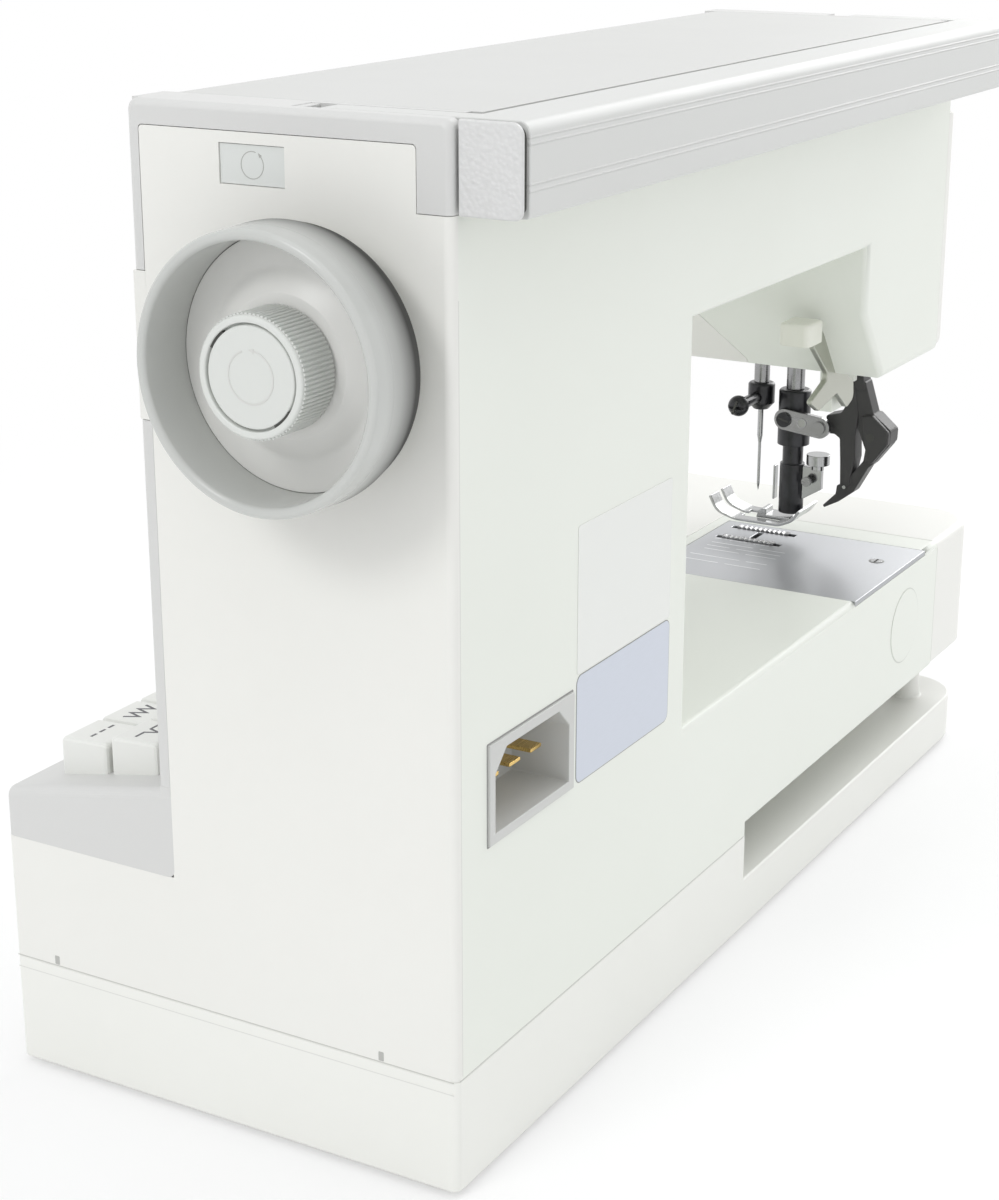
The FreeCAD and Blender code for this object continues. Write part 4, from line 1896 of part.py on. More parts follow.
def build():
    """Make every sub-part."""
    pulley_bore = d.shaft_radius + d.shaft_fit
    motor_axis = (deep(d.motor_deep), d.motor_height)
    half_tooth = FULL_TURN / d.gear_teeth.value / 2
    pieces = [
        base_tray(), rubber_feet(), main_casting(), end_cover(), direction_plate(), front_cover(),
        control_panel(), key_console(), head_cover(), top_tray(), hinged_lid(), carrying_handle(),
        handwheel(), handwheel_web(), release_knob(), main_shaft(), shaft_bushes(), crank(), motor(),
        motor_pulley(), rotary_hook(), bobbin_case(), needle_cradle(), needle_bar(), needle_clamp(),
        needle(), take_up_lever(), presser_bar(), foot_shank(), presser_foot(), foot_screw(),
        dual_feed_link(), dual_feed_arm(), lifter_lever(), lifter_cap(), needle_plate(), feed_dog(),
        reverse_key(), bobbin_winder(), power_inlet(), inlet_pins(), accessory_box(),
    ]
    pieces += stitch_keys()
    lower_bore = d.lower_radius + d.shaft_fit
    drive_flange = d.drive_radius + d.flange
    pieces += [
        pulley("timing_pulley", main_axis, d.pulley_out, d.pulley_radius, d.flange_radius, pulley_bore),
        pulley("lower_pulley", lower_axis, d.pulley_out, d.pulley_radius, d.flange_radius, lower_bore),
        pulley("drive_pulley", main_axis, d.drive_out, d.drive_radius, drive_flange, pulley_bore),
        belt("timing_belt", d.pulley_out, main_axis, d.pulley_radius, lower_axis, d.pulley_radius),
        belt("motor_belt", d.drive_out, main_axis, d.drive_radius, motor_axis, d.motor_pulley_radius),
        gear("hook_gear", lower_axis, d.gear_teeth, half_tooth + QUARTER_TURN, lower_bore),
    ]
    shaft_x = (along(d.gear_out + d.gear_width), along(d.pulley_out - d.pulley_width / 2))
    pieces.append(rod("lower_shaft", "x", lower_axis, shaft_x, d.lower_radius))
    pieces.append(dial("stitch_length_dial", d.dial_out, d.length_dial_height, d.dial_radius, front_depth))
    pieces.append(dial("stitch_width_dial", d.dial_out, d.width_dial_height, d.dial_radius, front_depth))
    pieces.append(dial("tension_dial", d.tension_out, d.tension_height, d.tension_radius, front_depth))
    return pieces


def export(pieces):
    """Stop on anything that failed, then write one file per sub-part."""
    doc.recompute()
    failed = [item.Name for item in doc.Objects if {"Invalid", "Error"} & set(item.State)]
    failed += [piece.Name for piece in pieces if piece.Shape.isNull() or not piece.Shape.isValid()]
    if failed:
        raise RuntimeError(f"failed: {failed}")
    os.makedirs("parts", exist_ok=True)
    for piece in pieces:
        piece.Label = piece.Name
        shape = piece.Shape
        shape.exportStep(f"parts/{piece.Label}.step")
        print(piece.Label, len(shape.Solids), round(shape.Volume))


export(build())
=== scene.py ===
# %% [markdown]
# # A free-arm sewing machine, seen from the handwheel end
# The machine arrives as solid pieces that already have their true sizes and joints. This lesson dresses
# them: soft edges, moulded and painted surfaces, bare labels, engraved lines and polished steel.
# Lengths are metres, +X points to the handwheel, +Y to the rear and +Z up. Drawings are in millimetres.

# %% Load the pieces
import json
import math

import bmesh
import bpy
from mathutils import Matrix, Vector


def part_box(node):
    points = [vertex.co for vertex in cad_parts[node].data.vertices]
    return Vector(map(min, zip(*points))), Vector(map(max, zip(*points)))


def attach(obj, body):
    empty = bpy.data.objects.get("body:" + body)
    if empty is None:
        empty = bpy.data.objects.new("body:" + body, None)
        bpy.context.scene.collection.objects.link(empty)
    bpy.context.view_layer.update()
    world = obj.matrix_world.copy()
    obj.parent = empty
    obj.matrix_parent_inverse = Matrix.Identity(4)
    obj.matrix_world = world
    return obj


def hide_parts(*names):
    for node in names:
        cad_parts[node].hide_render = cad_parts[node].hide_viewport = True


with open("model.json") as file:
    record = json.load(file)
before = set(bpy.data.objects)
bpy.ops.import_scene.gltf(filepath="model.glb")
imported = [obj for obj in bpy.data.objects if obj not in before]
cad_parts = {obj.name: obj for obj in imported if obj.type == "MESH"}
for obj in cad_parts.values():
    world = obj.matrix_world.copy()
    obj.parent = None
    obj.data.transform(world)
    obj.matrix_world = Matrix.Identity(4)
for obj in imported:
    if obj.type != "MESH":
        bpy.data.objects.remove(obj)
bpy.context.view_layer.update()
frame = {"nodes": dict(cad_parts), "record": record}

scene = bpy.context.scene
bodies = frame["record"]["behaviour"]["bodies"]
body_of = {node: body for body, nodes in bodies.items() for node in nodes}
MM = 0.001
END_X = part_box("end_cover")[1][0]
REAR_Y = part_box("main_casting")[1][1]


def spot(along, deep, height):
    """A place in millimetres: in from the end face, in from the rear face, up from the table."""
    return Vector((END_X - along * MM, REAR_Y - deep * MM, height * MM))


def spans(box):
    """A box in the same millimetres, as three ranges: along, deep and height."""
    low, high = box
    along = ((END_X - high[0]) / MM, (END_X - low[0]) / MM)
    deep = ((REAR_Y - high[1]) / MM, (REAR_Y - low[1]) / MM)
    return along, deep, (low[2] / MM, high[2] / MM)


def new_object(name, data):
    """An object that is in the scene."""
    obj = bpy.data.objects.new(name, data)
    scene.collection.objects.link(obj)
    return obj


# %% [markdown]
# ## Camera
# A picture taken with a short telephoto lens from behind the machine's right corner, a little above it.
# The place and angle were fitted to the long straight edges of the base, the handle and the column, so
# that the solids fall on the same pixels as the real thing.

# %% Camera
lens = bpy.data.cameras.new("photo_lens")
lens.sensor_fit = "VERTICAL"
lens.sensor_height = 24.0
lens.lens = 46.204
camera = new_object("photo_camera", lens)
camera.location = (0.66299, 0.35264, 0.35672)
camera.rotation_euler = (math.radians(71.638), 0.0, math.radians(119.927))
scene.camera = camera
print("camera lens", lens.lens)

# %% [markdown]
# ## A graph that writes like arithmetic
# Shader and geometry trees are both networks of nodes, so one small class builds them: it takes a node
# type, its inputs and its settings. A socket is wrapped so that plus, minus and times add Math nodes,
# and a mask can be written as one line of Python.

# %% Node graph
class Value:
    """A number inside a node graph; the operators add Math nodes."""

    def __init__(self, graph, socket):
        self.graph = graph
        self.socket = socket

    def math(self, operation, first, second=0.0):
        node = self.graph.node("ShaderNodeMath", {0: first, 1: second}, operation=operation)
        return Value(self.graph, node.outputs[0])

    def __add__(self, other):
        return self.math("ADD", self, other)

    def __sub__(self, other):
        return self.math("SUBTRACT", self, other)

    def __rsub__(self, other):
        return self.math("SUBTRACT", other, self)

    def __mul__(self, other):
        return self.math("MULTIPLY", self, other)

    def __truediv__(self, other):
        return self.math("DIVIDE", self, other)

    def above(self, limit):
        return self.math("GREATER_THAN", self, limit)

    def at_least(self, limit):
        return self.math("MAXIMUM", self, limit)

    def unsigned(self):
        return self.math("ABSOLUTE", self)

    __radd__ = __add__


class Graph:
    """A node tree that is filled by calls to node()."""

    def __init__(self, tree):
        self.tree = tree

    def node(self, kind, inputs=None, **settings):
        made = self.tree.nodes.new(kind)
        for name, setting in settings.items():
            setattr(made, name, setting)
        for name, value in (inputs or {}).items():
            self.feed(made.inputs[name], value)
        return made

    def feed(self, socket, value):
        """Link an output, or a node's first one, to a socket, or set the socket's own constant."""
        if isinstance(value, Value):
            value = value.socket
        if isinstance(value, bpy.types.Node):
            value = value.outputs[0]
        if isinstance(value, bpy.types.NodeSocket):
            self.tree.links.new(value, socket)
        else:
            socket.default_value = value


class Finish(Graph):
    """A material: a Principled shader with helpers for what varies over the surface."""

    def __init__(self, name):
        self.material = bpy.data.materials.new(name)
        self.material.use_nodes = True
        super().__init__(self.material.node_tree)
        self.tree.nodes.clear()
        self.shader = self.node("ShaderNodeBsdfPrincipled")
        self.node("ShaderNodeOutputMaterial", {"Surface": self.shader})
        self.place = self.node("ShaderNodeTexCoord").outputs["Object"]

    def set(self, **values):
        """Feed the shader's inputs; an underscore in a name stands for a space."""
        for name, value in values.items():
            self.feed(self.shader.inputs[name.replace("_", " ")], value)
        return self

    def axis(self, name):
        split = self.node("ShaderNodeSeparateXYZ", {0: self.place})
        return Value(self, split.outputs[name])

    def stretched(self, scale):
        return self.node("ShaderNodeMapping", {"Vector": self.place, "Scale": scale})

    def noise(self, scale, detail=2.0, rough=0.5, where=None):
        made = self.node("ShaderNodeTexNoise", {
            "Vector": where or self.place, "Scale": scale, "Detail": detail, "Roughness": rough})
        return Value(self, made.outputs[0])

    def pebbles(self, scale):
        made = self.node("ShaderNodeTexVoronoi", {"Vector": self.place, "Scale": scale}, feature="SMOOTH_F1")
        return Value(self, made.outputs["Distance"])

    def ramp(self, value, stops):
        made = self.node("ShaderNodeValToRGB", {0: value})
        elements = made.color_ramp.elements
        while len(elements) < len(stops):
            elements.new(1.0)
        for element, (place, colour) in zip(elements, stops):
            element.position = place
            element.color = colour
        return made

    def between(self, mask, first, second):
        made = self.node("ShaderNodeMix", {0: mask, 6: first, 7: second}, data_type="RGBA")
        return made.outputs[2]

    def bump(self, height, strength, depth):
        made = self.node("ShaderNodeBump", {"Height": height, "Strength": strength, "Distance": depth})
        return self.set(Normal=made)


print("graph ready")

# %% [markdown]
# ## Paint and plastic
# The casting is stove-enamelled: warm white, satin, with the faint orange peel of sprayed paint. The
# covers are moulded in nearly the same white but smoother. A little tone drift at the scale of a hand
# keeps large panels from looking like paper.

# %% White finishes
TONE_SCALE = 9.0
TONE_DRIFT = 0.012
WARMTH = 1.4
GLOSS_SCALE = 35.0
GLOSS_SWING = 0.10


def tones(colour, drift=TONE_DRIFT):
    """Darker and lighter neighbours of a colour, for a ramp; the darker one is also a little warmer."""
    red, green, blue = colour
    low = (red * (1 - drift), green * (1 - drift), blue * (1 - drift * WARMTH), 1.0)
    high = [min(part * (1 + drift), 1.0) for part in colour] + [1.0]
    return [(0.3, low), (0.7, high)]


def uneven_gloss(finish, roughness):
    """A roughness that swings a little about its middle value."""
    return finish.noise(GLOSS_SCALE, 3.0) * GLOSS_SWING + (roughness - GLOSS_SWING / 2)


def enamel(name, colour, roughness, grain, depth):
    """Sprayed paint or moulded plastic: drifting tone, fine surface grain, uneven gloss."""
    finish = Finish(name)
    finish.set(Base_Color=finish.ramp(finish.noise(TONE_SCALE, 3.0), tones(colour)))
    finish.set(Roughness=uneven_gloss(finish, roughness), Specular_IOR_Level=0.42)
    return finish.bump(finish.noise(grain), 0.35, depth)


white_paint = enamel("warm_white_enamel", (0.800, 0.822, 0.768), 0.42, 1500.0, 0.00006)
white_cover = enamel("warm_white_moulding", (0.815, 0.812, 0.778), 0.40, 2200.0, 0.00005)
base_white = enamel("base_moulding", (0.830, 0.832, 0.795), 0.40, 2200.0, 0.00005)
cream = enamel("cream_lever_cap", (0.780, 0.785, 0.710), 0.30, 900.0, 0.00003)
print("white finishes ready")

# %% [markdown]
# ## Grey trim
# Lid, handle, console and frame are cool light grey plastic with the fine spark-eroded grain that hides
# finger marks. The handle is an extrusion with two pairs of fine ridges along its back: they are too thin
# to model as solids, so they are lines of height that follow the Z coordinate, and the colour is darkened
# along them as painted shade. Its end cap has a pebbled leather grain, made from small rounded cells.

# %% Grey finishes
grey_trim = enamel("light_grey_moulding", (0.655, 0.655, 0.645), 0.46, 2600.0, 0.00009)
grey_lid = enamel("pale_grey_lid", (0.612, 0.615, 0.602), 0.44, 2600.0, 0.00008)
grey_key = enamel("pale_grey_keys", (0.790, 0.795, 0.765), 0.38, 1800.0, 0.00004)
grey_plate = enamel("pale_grey_plate", (0.705, 0.725, 0.705), 0.36, 1800.0, 0.00004)
RIDGE_HEIGHTS = (276.6, 278.2, 287.6, 289.2)
RIDGE_HALF = 0.42


def ridge_lines(finish):
    """Height that rises to one along thin level lines."""
    level = finish.axis("Z")
    lines = []
    for height in RIDGE_HEIGHTS:
        away = (level - height * MM).unsigned()
        lines.append((1.0 - away / (RIDGE_HALF * MM)).at_least(0.0))
    return sum(lines)


grey_handle = Finish("ridged_grey_handle")
ridges_and_shade = ridge_lines(grey_handle)
plain_grey = grey_handle.ramp(grey_handle.noise(TONE_SCALE, 3.0), tones((0.645, 0.650, 0.637)))
# Painted shade: the colour darkens along the ridge lines.
grey_handle.set(Base_Color=grey_handle.between(ridges_and_shade * 0.3, plain_grey, (0.53, 0.53, 0.52, 1.0)))
grey_handle.set(Roughness=uneven_gloss(grey_handle, 0.44))
grey_handle.bump(ridges_and_shade + grey_handle.noise(2600.0) * 0.12, 0.6, 0.0004)

LEATHER_TONES = [(0.1, (0.70, 0.70, 0.695, 1)), (0.7, (0.66, 0.66, 0.655, 1))]
grey_leather = Finish("grained_grey_end")
pebbles = grey_leather.pebbles(900.0)
hollows = pebbles + grey_leather.noise(1500.0) * 0.35
grey_leather.set(Base_Color=grey_leather.ramp(pebbles, LEATHER_TONES))
grey_leather.set(Roughness=grey_leather.noise(500.0) * 0.15 + 0.36)
grey_leather.bump(1.0 - hollows, 0.5, 0.0005)
print("grey finishes ready")

# %% [markdown]
# ## Wheel finishes
# The dials and the wheel are polished. The back of the wheel's rim lies in the shade of the column. That
# shade is painted into the rim's outside: its colour darkens with the distance from the front edge, and its
# gloss dulls the same way. The rim's inner wall stays pale.

# %% Wheel finishes
WHEEL_LOW, WHEEL_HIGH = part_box("handwheel")
WHEEL_Y = (WHEEL_LOW[1] + WHEEL_HIGH[1]) / 2
WHEEL_Z = (WHEEL_LOW[2] + WHEEL_HIGH[2]) / 2
RIM_INSIDE = 33.9 * MM
FADE_START = 25 * MM
FADE_LENGTH = 15 * MM
RIM_SHADE_TONES = [
    (0.0, (0.545, 0.555, 0.535, 1)),
    (0.40, (0.400, 0.405, 0.390, 1)),
    (0.90, (0.045, 0.045, 0.042, 1)),
]
RIM_ROUGHNESS = [(0.1, (0.19, 0.19, 0.19, 1)), (0.8, (0.8, 0.8, 0.8, 1))]


def on_axis(out):
    """A place on the wheel's axis, in millimetres out from the end face."""
    return (END_X + out * MM, WHEEL_Y, WHEEL_Z)


grey_gloss = Finish("polished_grey_wheel")
grey_gloss.set(Base_Color=grey_gloss.ramp(grey_gloss.noise(14.0), tones((0.530, 0.540, 0.520))))
grey_gloss.set(Roughness=grey_gloss.noise(60.0, 3.0) * 0.08 + 0.16, Coat_Weight=0.25, Coat_Roughness=0.06)
grey_gloss.bump(grey_gloss.noise(700.0, 1.0), 0.15, 0.00003)

rim_gloss_and_shade = Finish("shaded_wheel_rim")
across_wheel = rim_gloss_and_shade.axis("Y") - WHEEL_Y
up_wheel = rim_gloss_and_shade.axis("Z") - WHEEL_Z
outside = (across_wheel * across_wheel + up_wheel * up_wheel).above(RIM_INSIDE ** 2)
backwards = (END_X + FADE_START - rim_gloss_and_shade.axis("X")) / FADE_LENGTH * outside
shade = backwards + rim_gloss_and_shade.noise(14.0) * 0.06
# Painted shade: the rim's outside darkens towards the back, where the column's shade falls.
rim_gloss_and_shade.set(Base_Color=rim_gloss_and_shade.ramp(shade, RIM_SHADE_TONES))
rim_gloss_and_shade.set(Roughness=rim_gloss_and_shade.ramp(shade, RIM_ROUGHNESS), Specular_IOR_Level=0.4)
rim_gloss_and_shade.bump(rim_gloss_and_shade.noise(700.0, 1.0), 0.15, 0.00003)

web_white = enamel("wheel_web_moulding", (0.790, 0.787, 0.765), 0.34, 1800.0, 0.00003)
knob_white = enamel("release_knob_moulding", (0.675, 0.690, 0.665), 0.38, 1800.0, 0.00004)
print("wheel finishes ready")

# %% [markdown]
# ## Metals and rubber
# Blued steel is nearly black with a cold sheen. Chrome is smooth with a trace of haze. The needle plate is
# ground steel: a noise stretched in one direction makes the grinding lines.

# %% Metal finishes
def metal(name, colour, roughness, streak, stretch=(1.0, 1.0, 60.0)):
    """Bare metal with fine tool marks that run across one direction."""
    finish = Finish(name)
    marks = finish.noise(streak, 3.0, 0.6, finish.stretched(stretch))
    finish.set(Base_Color=finish.ramp(marks, tones(colour, 0.05)), Metallic=1.0)
    finish.set(Roughness=marks * 0.16 + (roughness - 0.08))
    return finish.bump(marks, 0.06, 0.00003)


BLUED_TONES = [(0.35, (0.010, 0.010, 0.012, 1)), (0.75, (0.028, 0.029, 0.034, 1))]
black_steel = Finish("blued_steel")
black_steel.set(Base_Color=black_steel.ramp(black_steel.noise(160.0, 3.0), BLUED_TONES), Metallic=0.35)
black_steel.set(Roughness=black_steel.noise(420.0, 3.0) * 0.22 + 0.22, Coat_Weight=0.3)
black_steel.bump(black_steel.noise(1500.0), 0.25, 0.00005)

chrome = metal("polished_chrome", (0.43, 0.435, 0.44), 0.20, 60.0, (1.0, 1.0, 6.0))
plate_steel = metal("ground_plate_steel", (0.47, 0.48, 0.50), 0.40, 40.0, (4.0, 260.0, 4.0))
bright_steel = metal("turned_steel", (0.33, 0.33, 0.335), 0.26, 40.0, (1.0, 1.0, 8.0))
lever_steel = metal("satin_lever_steel", (0.52, 0.53, 0.48), 0.42, 30.0, (1.0, 1.0, 1.0))
brass = metal("stamped_brass", (0.78, 0.55, 0.20), 0.26, 70.0, (1.0, 40.0, 40.0))

RUBBER_TONES = [(0.3, (0.016, 0.016, 0.016, 1)), (0.7, (0.03, 0.03, 0.03, 1))]
rubber = Finish("black_rubber")
rubber.set(Base_Color=rubber.ramp(rubber.noise(60.0, 3.0), RUBBER_TONES))
rubber.set(Roughness=rubber.noise(300.0) * 0.2 + 0.6)
rubber.bump(rubber.noise(1800.0), 0.3, 0.0001)

black_satin = enamel("charcoal_satin", (0.046, 0.045, 0.045), 0.42, 1800.0, 0.00006)
black_mould = enamel("black_moulding", (0.022, 0.022, 0.023), 0.5, 1800.0, 0.00008)
inlet_grey = enamel("inlet_moulding", (0.600, 0.605, 0.590), 0.42, 1800.0, 0.00006)
print("metal finishes ready")

# %% [markdown]
# ## Dressing a solid
# A computer solid has knife edges, which no moulded or cast piece has. A copy of each visible solid is
# welded, its flat faces are joined up again, and a narrow bevel catches the light along every edge. The
# shading leans towards the larger faces, so that broad panels stay flat beside their bevels.

# %% Dressed solids
WELD = 2e-6
FLAT_ENOUGH = math.radians(0.4)
SHARP = math.radians(32.0)


def piece(name, mesh, finish, body):
    """A finished piece, riding on its body."""
    obj = new_object(name, mesh)
    mesh.materials.clear()
    mesh.materials.append(finish.material)
    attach(obj, body)
    return obj


def smooth(mesh):
    """Smooth shading with edges kept sharp past an angle."""
    mesh.polygons.foreach_set("use_smooth", [True] * len(mesh.polygons))
    mesh.set_sharp_from_angle(angle=SHARP)


def soften(obj, width, segments, degrees):
    """A narrow bevel, in millimetres, along the edges that turn by more than an angle."""
    if width:
        edge = obj.modifiers.new("soft_edge", "BEVEL")
        edge.width = width * MM
        edge.segments = segments
        edge.limit_method = "ANGLE"
        edge.angle_limit = math.radians(degrees)


def dressed(node, finish, bevel=0.0):
    """A welded copy of a solid, with its edges softened, in place of the solid."""
    mesh = frame["nodes"][node].data.copy()
    work = bmesh.new()
    work.from_mesh(mesh)
    bmesh.ops.remove_doubles(work, verts=work.verts, dist=WELD)
    bmesh.ops.dissolve_limit(work, angle_limit=FLAT_ENOUGH, verts=work.verts, edges=work.edges)
    work.to_mesh(mesh)
    work.free()
    smooth(mesh)
    obj = piece("dressed_" + node, mesh, finish, body_of[node])
    soften(obj, bevel, 2, 40)
    even = obj.modifiers.new("even_shading", "WEIGHTED_NORMAL")
    even.keep_sharp = True
    even.weight = 100
    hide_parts(node)


COVERS = {
    "main_casting": (white_paint, 0.0),
    "end_cover": (white_cover, 0.0),
    "front_cover": (white_cover, 0.4),
    "head_cover": (white_cover, 0.3),
    "base_tray": (base_white, 0.9),
    "accessory_box": (white_cover, 0.4),
    "top_tray": (grey_trim, 0.5),
    "hinged_lid": (grey_lid, 0.6),
    "carrying_handle": (grey_handle, 0.3),
    "control_panel": (grey_trim, 0.3),
    "direction_plate": (grey_plate, 0.0),
    "power_inlet": (inlet_grey, 0.3),
    "inlet_pins": (brass, 0.3),
    "lifter_cap": (cream, 0.3),
    "reverse_key": (cream, 0.4),
}
for node, (finish, bevel) in COVERS.items():
    dressed(node, finish, bevel)
print("covers", len(COVERS))

# %% Dressed mechanism
MECHANISM = {
    "needle_plate": (plate_steel, 0.2),
    "feed_dog": (bright_steel, 0.0),
    "presser_bar": (bright_steel, 0.2),
    "needle_bar": (bright_steel, 0.2),
    "needle": (chrome, 0.0),
    "needle_clamp": (black_steel, 0.2),
    "foot_shank": (black_steel, 0.2),
    "foot_screw": (chrome, 0.2),
    "dual_feed_link": (bright_steel, 0.3),
    "take_up_lever": (chrome, 0.3),
    "bobbin_winder": (black_mould, 0.2),
    "rubber_feet": (rubber, 0.3),
    "stitch_length_dial": (grey_gloss, 0.2),
    "stitch_width_dial": (grey_gloss, 0.2),
    "tension_dial": (grey_gloss, 0.2),
}
for node, (finish, bevel) in MECHANISM.items():
    dressed(node, finish, bevel)

STEEL_INSIDE = (
    "main_shaft", "lower_shaft", "crank", "needle_cradle", "timing_pulley", "lower_pulley",
    "drive_pulley", "motor_pulley", "hook_gear", "rotary_hook", "bobbin_case",
)
INSIDE = {node: bright_steel for node in STEEL_INSIDE}
INSIDE.update({"motor": black_steel, "shaft_bushes": brass, "timing_belt": rubber, "motor_belt": rubber})
for node, finish in INSIDE.items():
    dressed(node, finish)
print("mechanism", len(MECHANISM), "inside", len(INSIDE))

# %% [markdown]
# ## Turned pieces
# The handwheel, its dished web and the knob are turned shapes, so each is drawn as half a section and
# spun. Corners of the section are rounded first, which gives the deep rim its soft back and lip.

# %% Turning
TURN_STEPS = 192


def rounded_path(corners, closed=False, steps=8):
    """Points of a line whose corners (u, v, radius) are rounded off."""
    path = []
    count = len(corners)
    for index, (u, v, radius) in enumerate(corners):
        here = Vector((u, v))
        if radius <= 0 or (not closed and index in (0, count - 1)):
            path.append(here)
            continue
        back = (Vector(corners[index - 1][:2]) - here).normalized()
        ahead = (Vector(corners[(index + 1) % count][:2]) - here).normalized()
        half = back.angle(ahead) / 2
        centre = here + (back + ahead).normalized() * radius / math.sin(half)
        start = here + back * radius / math.tan(half) - centre
        sweep = start.angle_signed(here + ahead * radius / math.tan(half) - centre)
        for step in range(steps + 1):
            path.append(centre + Matrix.Rotation(-sweep * step / steps, 2) @ start)
    return path


def mesh_of(work, name):
    """Turn an edited mesh into a kept one."""
    mesh = bpy.data.meshes.new(name)
    work.to_mesh(mesh)
    work.free()
    return mesh


def turned(name, corners, finish, body):
    """Spin a section of (radius, distance from the end face) round the handwheel axis."""
    work = bmesh.new()
    rings = []
    for point in rounded_path([(u * MM, v * MM, r * MM) for u, v, r in corners]):
        ring = []
        for step in range(TURN_STEPS):
            angle = math.tau * step / TURN_STEPS
            across = WHEEL_Y + point.x * math.cos(angle)
            upward = WHEEL_Z + point.x * math.sin(angle)
            ring.append(work.verts.new((END_X + point.y, across, upward)))
        rings.append(ring)
    for first, second in zip(rings, rings[1:]):
        for step in range(TURN_STEPS):
            following = (step + 1) % TURN_STEPS
            work.faces.new((first[step], second[step], second[following], first[following]))
    bmesh.ops.remove_doubles(work, verts=work.verts, dist=1e-7)
    bmesh.ops.recalc_face_normals(work, faces=work.faces)
    mesh = mesh_of(work, name)
    smooth(mesh)
    return piece(name, mesh, finish, body)


wheel = turned("handwheel_rim", [
    (12.0, 5.0, 0), (27.0, 5.0, 3.0), (34.0, 6.8, 5.0), (36.0, 15.0, 8.0), (35.5, 30.0, 1.3),
    (32.6, 30.0, 1.3), (32.8, 9.0, 0), (12.0, 9.0, 0), (12.0, 5.0, 0),
], rim_gloss_and_shade, "drive")
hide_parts("handwheel")
web = turned("handwheel_dish", [
    (12.1, 9.0, 0), (32.7, 9.0, 0), (32.7, 13.0, 0.3), (24.0, 13.6, 4.0), (18.2, 16.8, 0.8),
    (12.1, 16.8, 0), (12.1, 9.0, 0),
], web_white, "drive")
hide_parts("handwheel_web")
print("wheel", len(wheel.data.polygons), "web", len(web.data.polygons))

# %% [markdown]
# ## The knurled knob
# Fine ribs run round the knob. Geometry Nodes place one rounded rib on each point of a circle, so count,
# radius and length stay as named inputs that can be turned without touching the mesh.

# %% Knurl tree
KINDS = {"Count": "NodeSocketInt", "Finish": "NodeSocketMaterial"}


def new_tree(name, *sizes):
    """A geometry tree with an input for each given size, and one for the material."""
    tree = bpy.data.node_groups.new(name, "GeometryNodeTree")
    tree.interface.new_socket("Mesh", in_out="OUTPUT", socket_type="NodeSocketGeometry")
    for label in (*sizes, "Finish"):
        kind = KINDS.get(label, "NodeSocketFloat")
        tree.interface.new_socket(label, in_out="INPUT", socket_type=kind)
    graph = Graph(tree)
    return graph, graph.node("NodeGroupInput").outputs


def finish_tree(graph, given, instances):
    """End a tree the same way each time: real mesh, one finish."""
    real = graph.node("GeometryNodeRealizeInstances", {0: instances})
    painted = graph.node("GeometryNodeSetMaterial", {0: real, "Material": given["Finish"]})
    graph.node("NodeGroupOutput", {0: painted})
    return graph.tree


def mesh_from(maker):
    """The mesh that a helper object in the scene makes; the helper is then removed."""
    mesh = bpy.data.meshes.new_from_object(maker.evaluated_get(bpy.context.evaluated_depsgraph_get()))
    bpy.data.objects.remove(maker)
    return mesh


def grown(name, tree, finish, body, place, **sizes):
    """Run a tree once, keep its mesh, and set it in place on a body."""
    host = new_object(name + "_seed", bpy.data.meshes.new(name + "_seed"))
    modifier = host.modifiers.new("grow", "NODES")
    modifier.node_group = tree
    wanted = {**sizes, "Finish": finish.material}
    for item in tree.interface.items_tree:
        if item.in_out == "INPUT" and item.name in wanted:
            modifier[item.identifier] = wanted[item.name]
    mesh = mesh_from(host)
    mesh.transform(place)
    smooth(mesh)
    return piece(name, mesh, finish, body)


def rib_ring_tree():
    """Ribs along the axis of a circle, evenly spaced."""
    graph, given = new_tree("rib_ring", "Count", "Radius", "Rib", "Length")
    circle = graph.node("GeometryNodeMeshCircle", {"Vertices": given["Count"], "Radius": given["Radius"]})
    rib = graph.node("GeometryNodeMeshCylinder", {
        "Vertices": 10, "Radius": given["Rib"], "Depth": given["Length"]})
    ring = graph.node("GeometryNodeInstanceOnPoints", {"Points": circle, "Instance": rib})
    return finish_tree(graph, given, ring)


RIBS = rib_ring_tree()
TO_X = Matrix.Rotation(math.radians(90), 4, "Y")
KNOB_RADIUS = 15.3
KNOB_FACE = 30.6
KNOB_GROOVE = 29.2
knob_core = turned("release_knob_core", [
    (0.0, 28.5, 0), (0.0, KNOB_FACE, 0), (12.7, KNOB_FACE, 0.4), (12.9, KNOB_GROOVE, 0),
    (13.3, KNOB_GROOVE, 0), (13.4, 31.0, 0.4), (KNOB_RADIUS, 31.0, 0.8), (KNOB_RADIUS, 17.2, 0.2),
    (6.0, 17.2, 0), (6.0, 28.5, 0), (0.0, 28.5, 0),
], knob_white, "knob")
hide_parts("release_knob")
knurl = grown("release_knob_knurl", RIBS, knob_white, "knob", Matrix.Translation(on_axis(23.9)) @ TO_X,
              Count=84, Radius=KNOB_RADIUS * MM, Rib=0.44 * MM, Length=12.4 * MM)
print("knurl faces", len(knurl.data.polygons))

# %% [markdown]
# ## Thin flat pieces
# Labels, engraved marks and end caps are all flat outlines with a little thickness. One helper draws an
# outline in any plane, gives it its thickness, and rounds the rim so that it reads as a separate piece.

# %% Flat pieces
X_FACE = (Vector((0, 1, 0)), Vector((0, 0, 1)))
Y_FACE = (Vector((-1, 0, 0)), Vector((0, 0, 1)))
FRONT_FACE = (Vector((1, 0, 0)), Vector((0, 0, 1)))
TOP_FACE = (Vector((1, 0, 0)), Vector((0, 1, 0)))


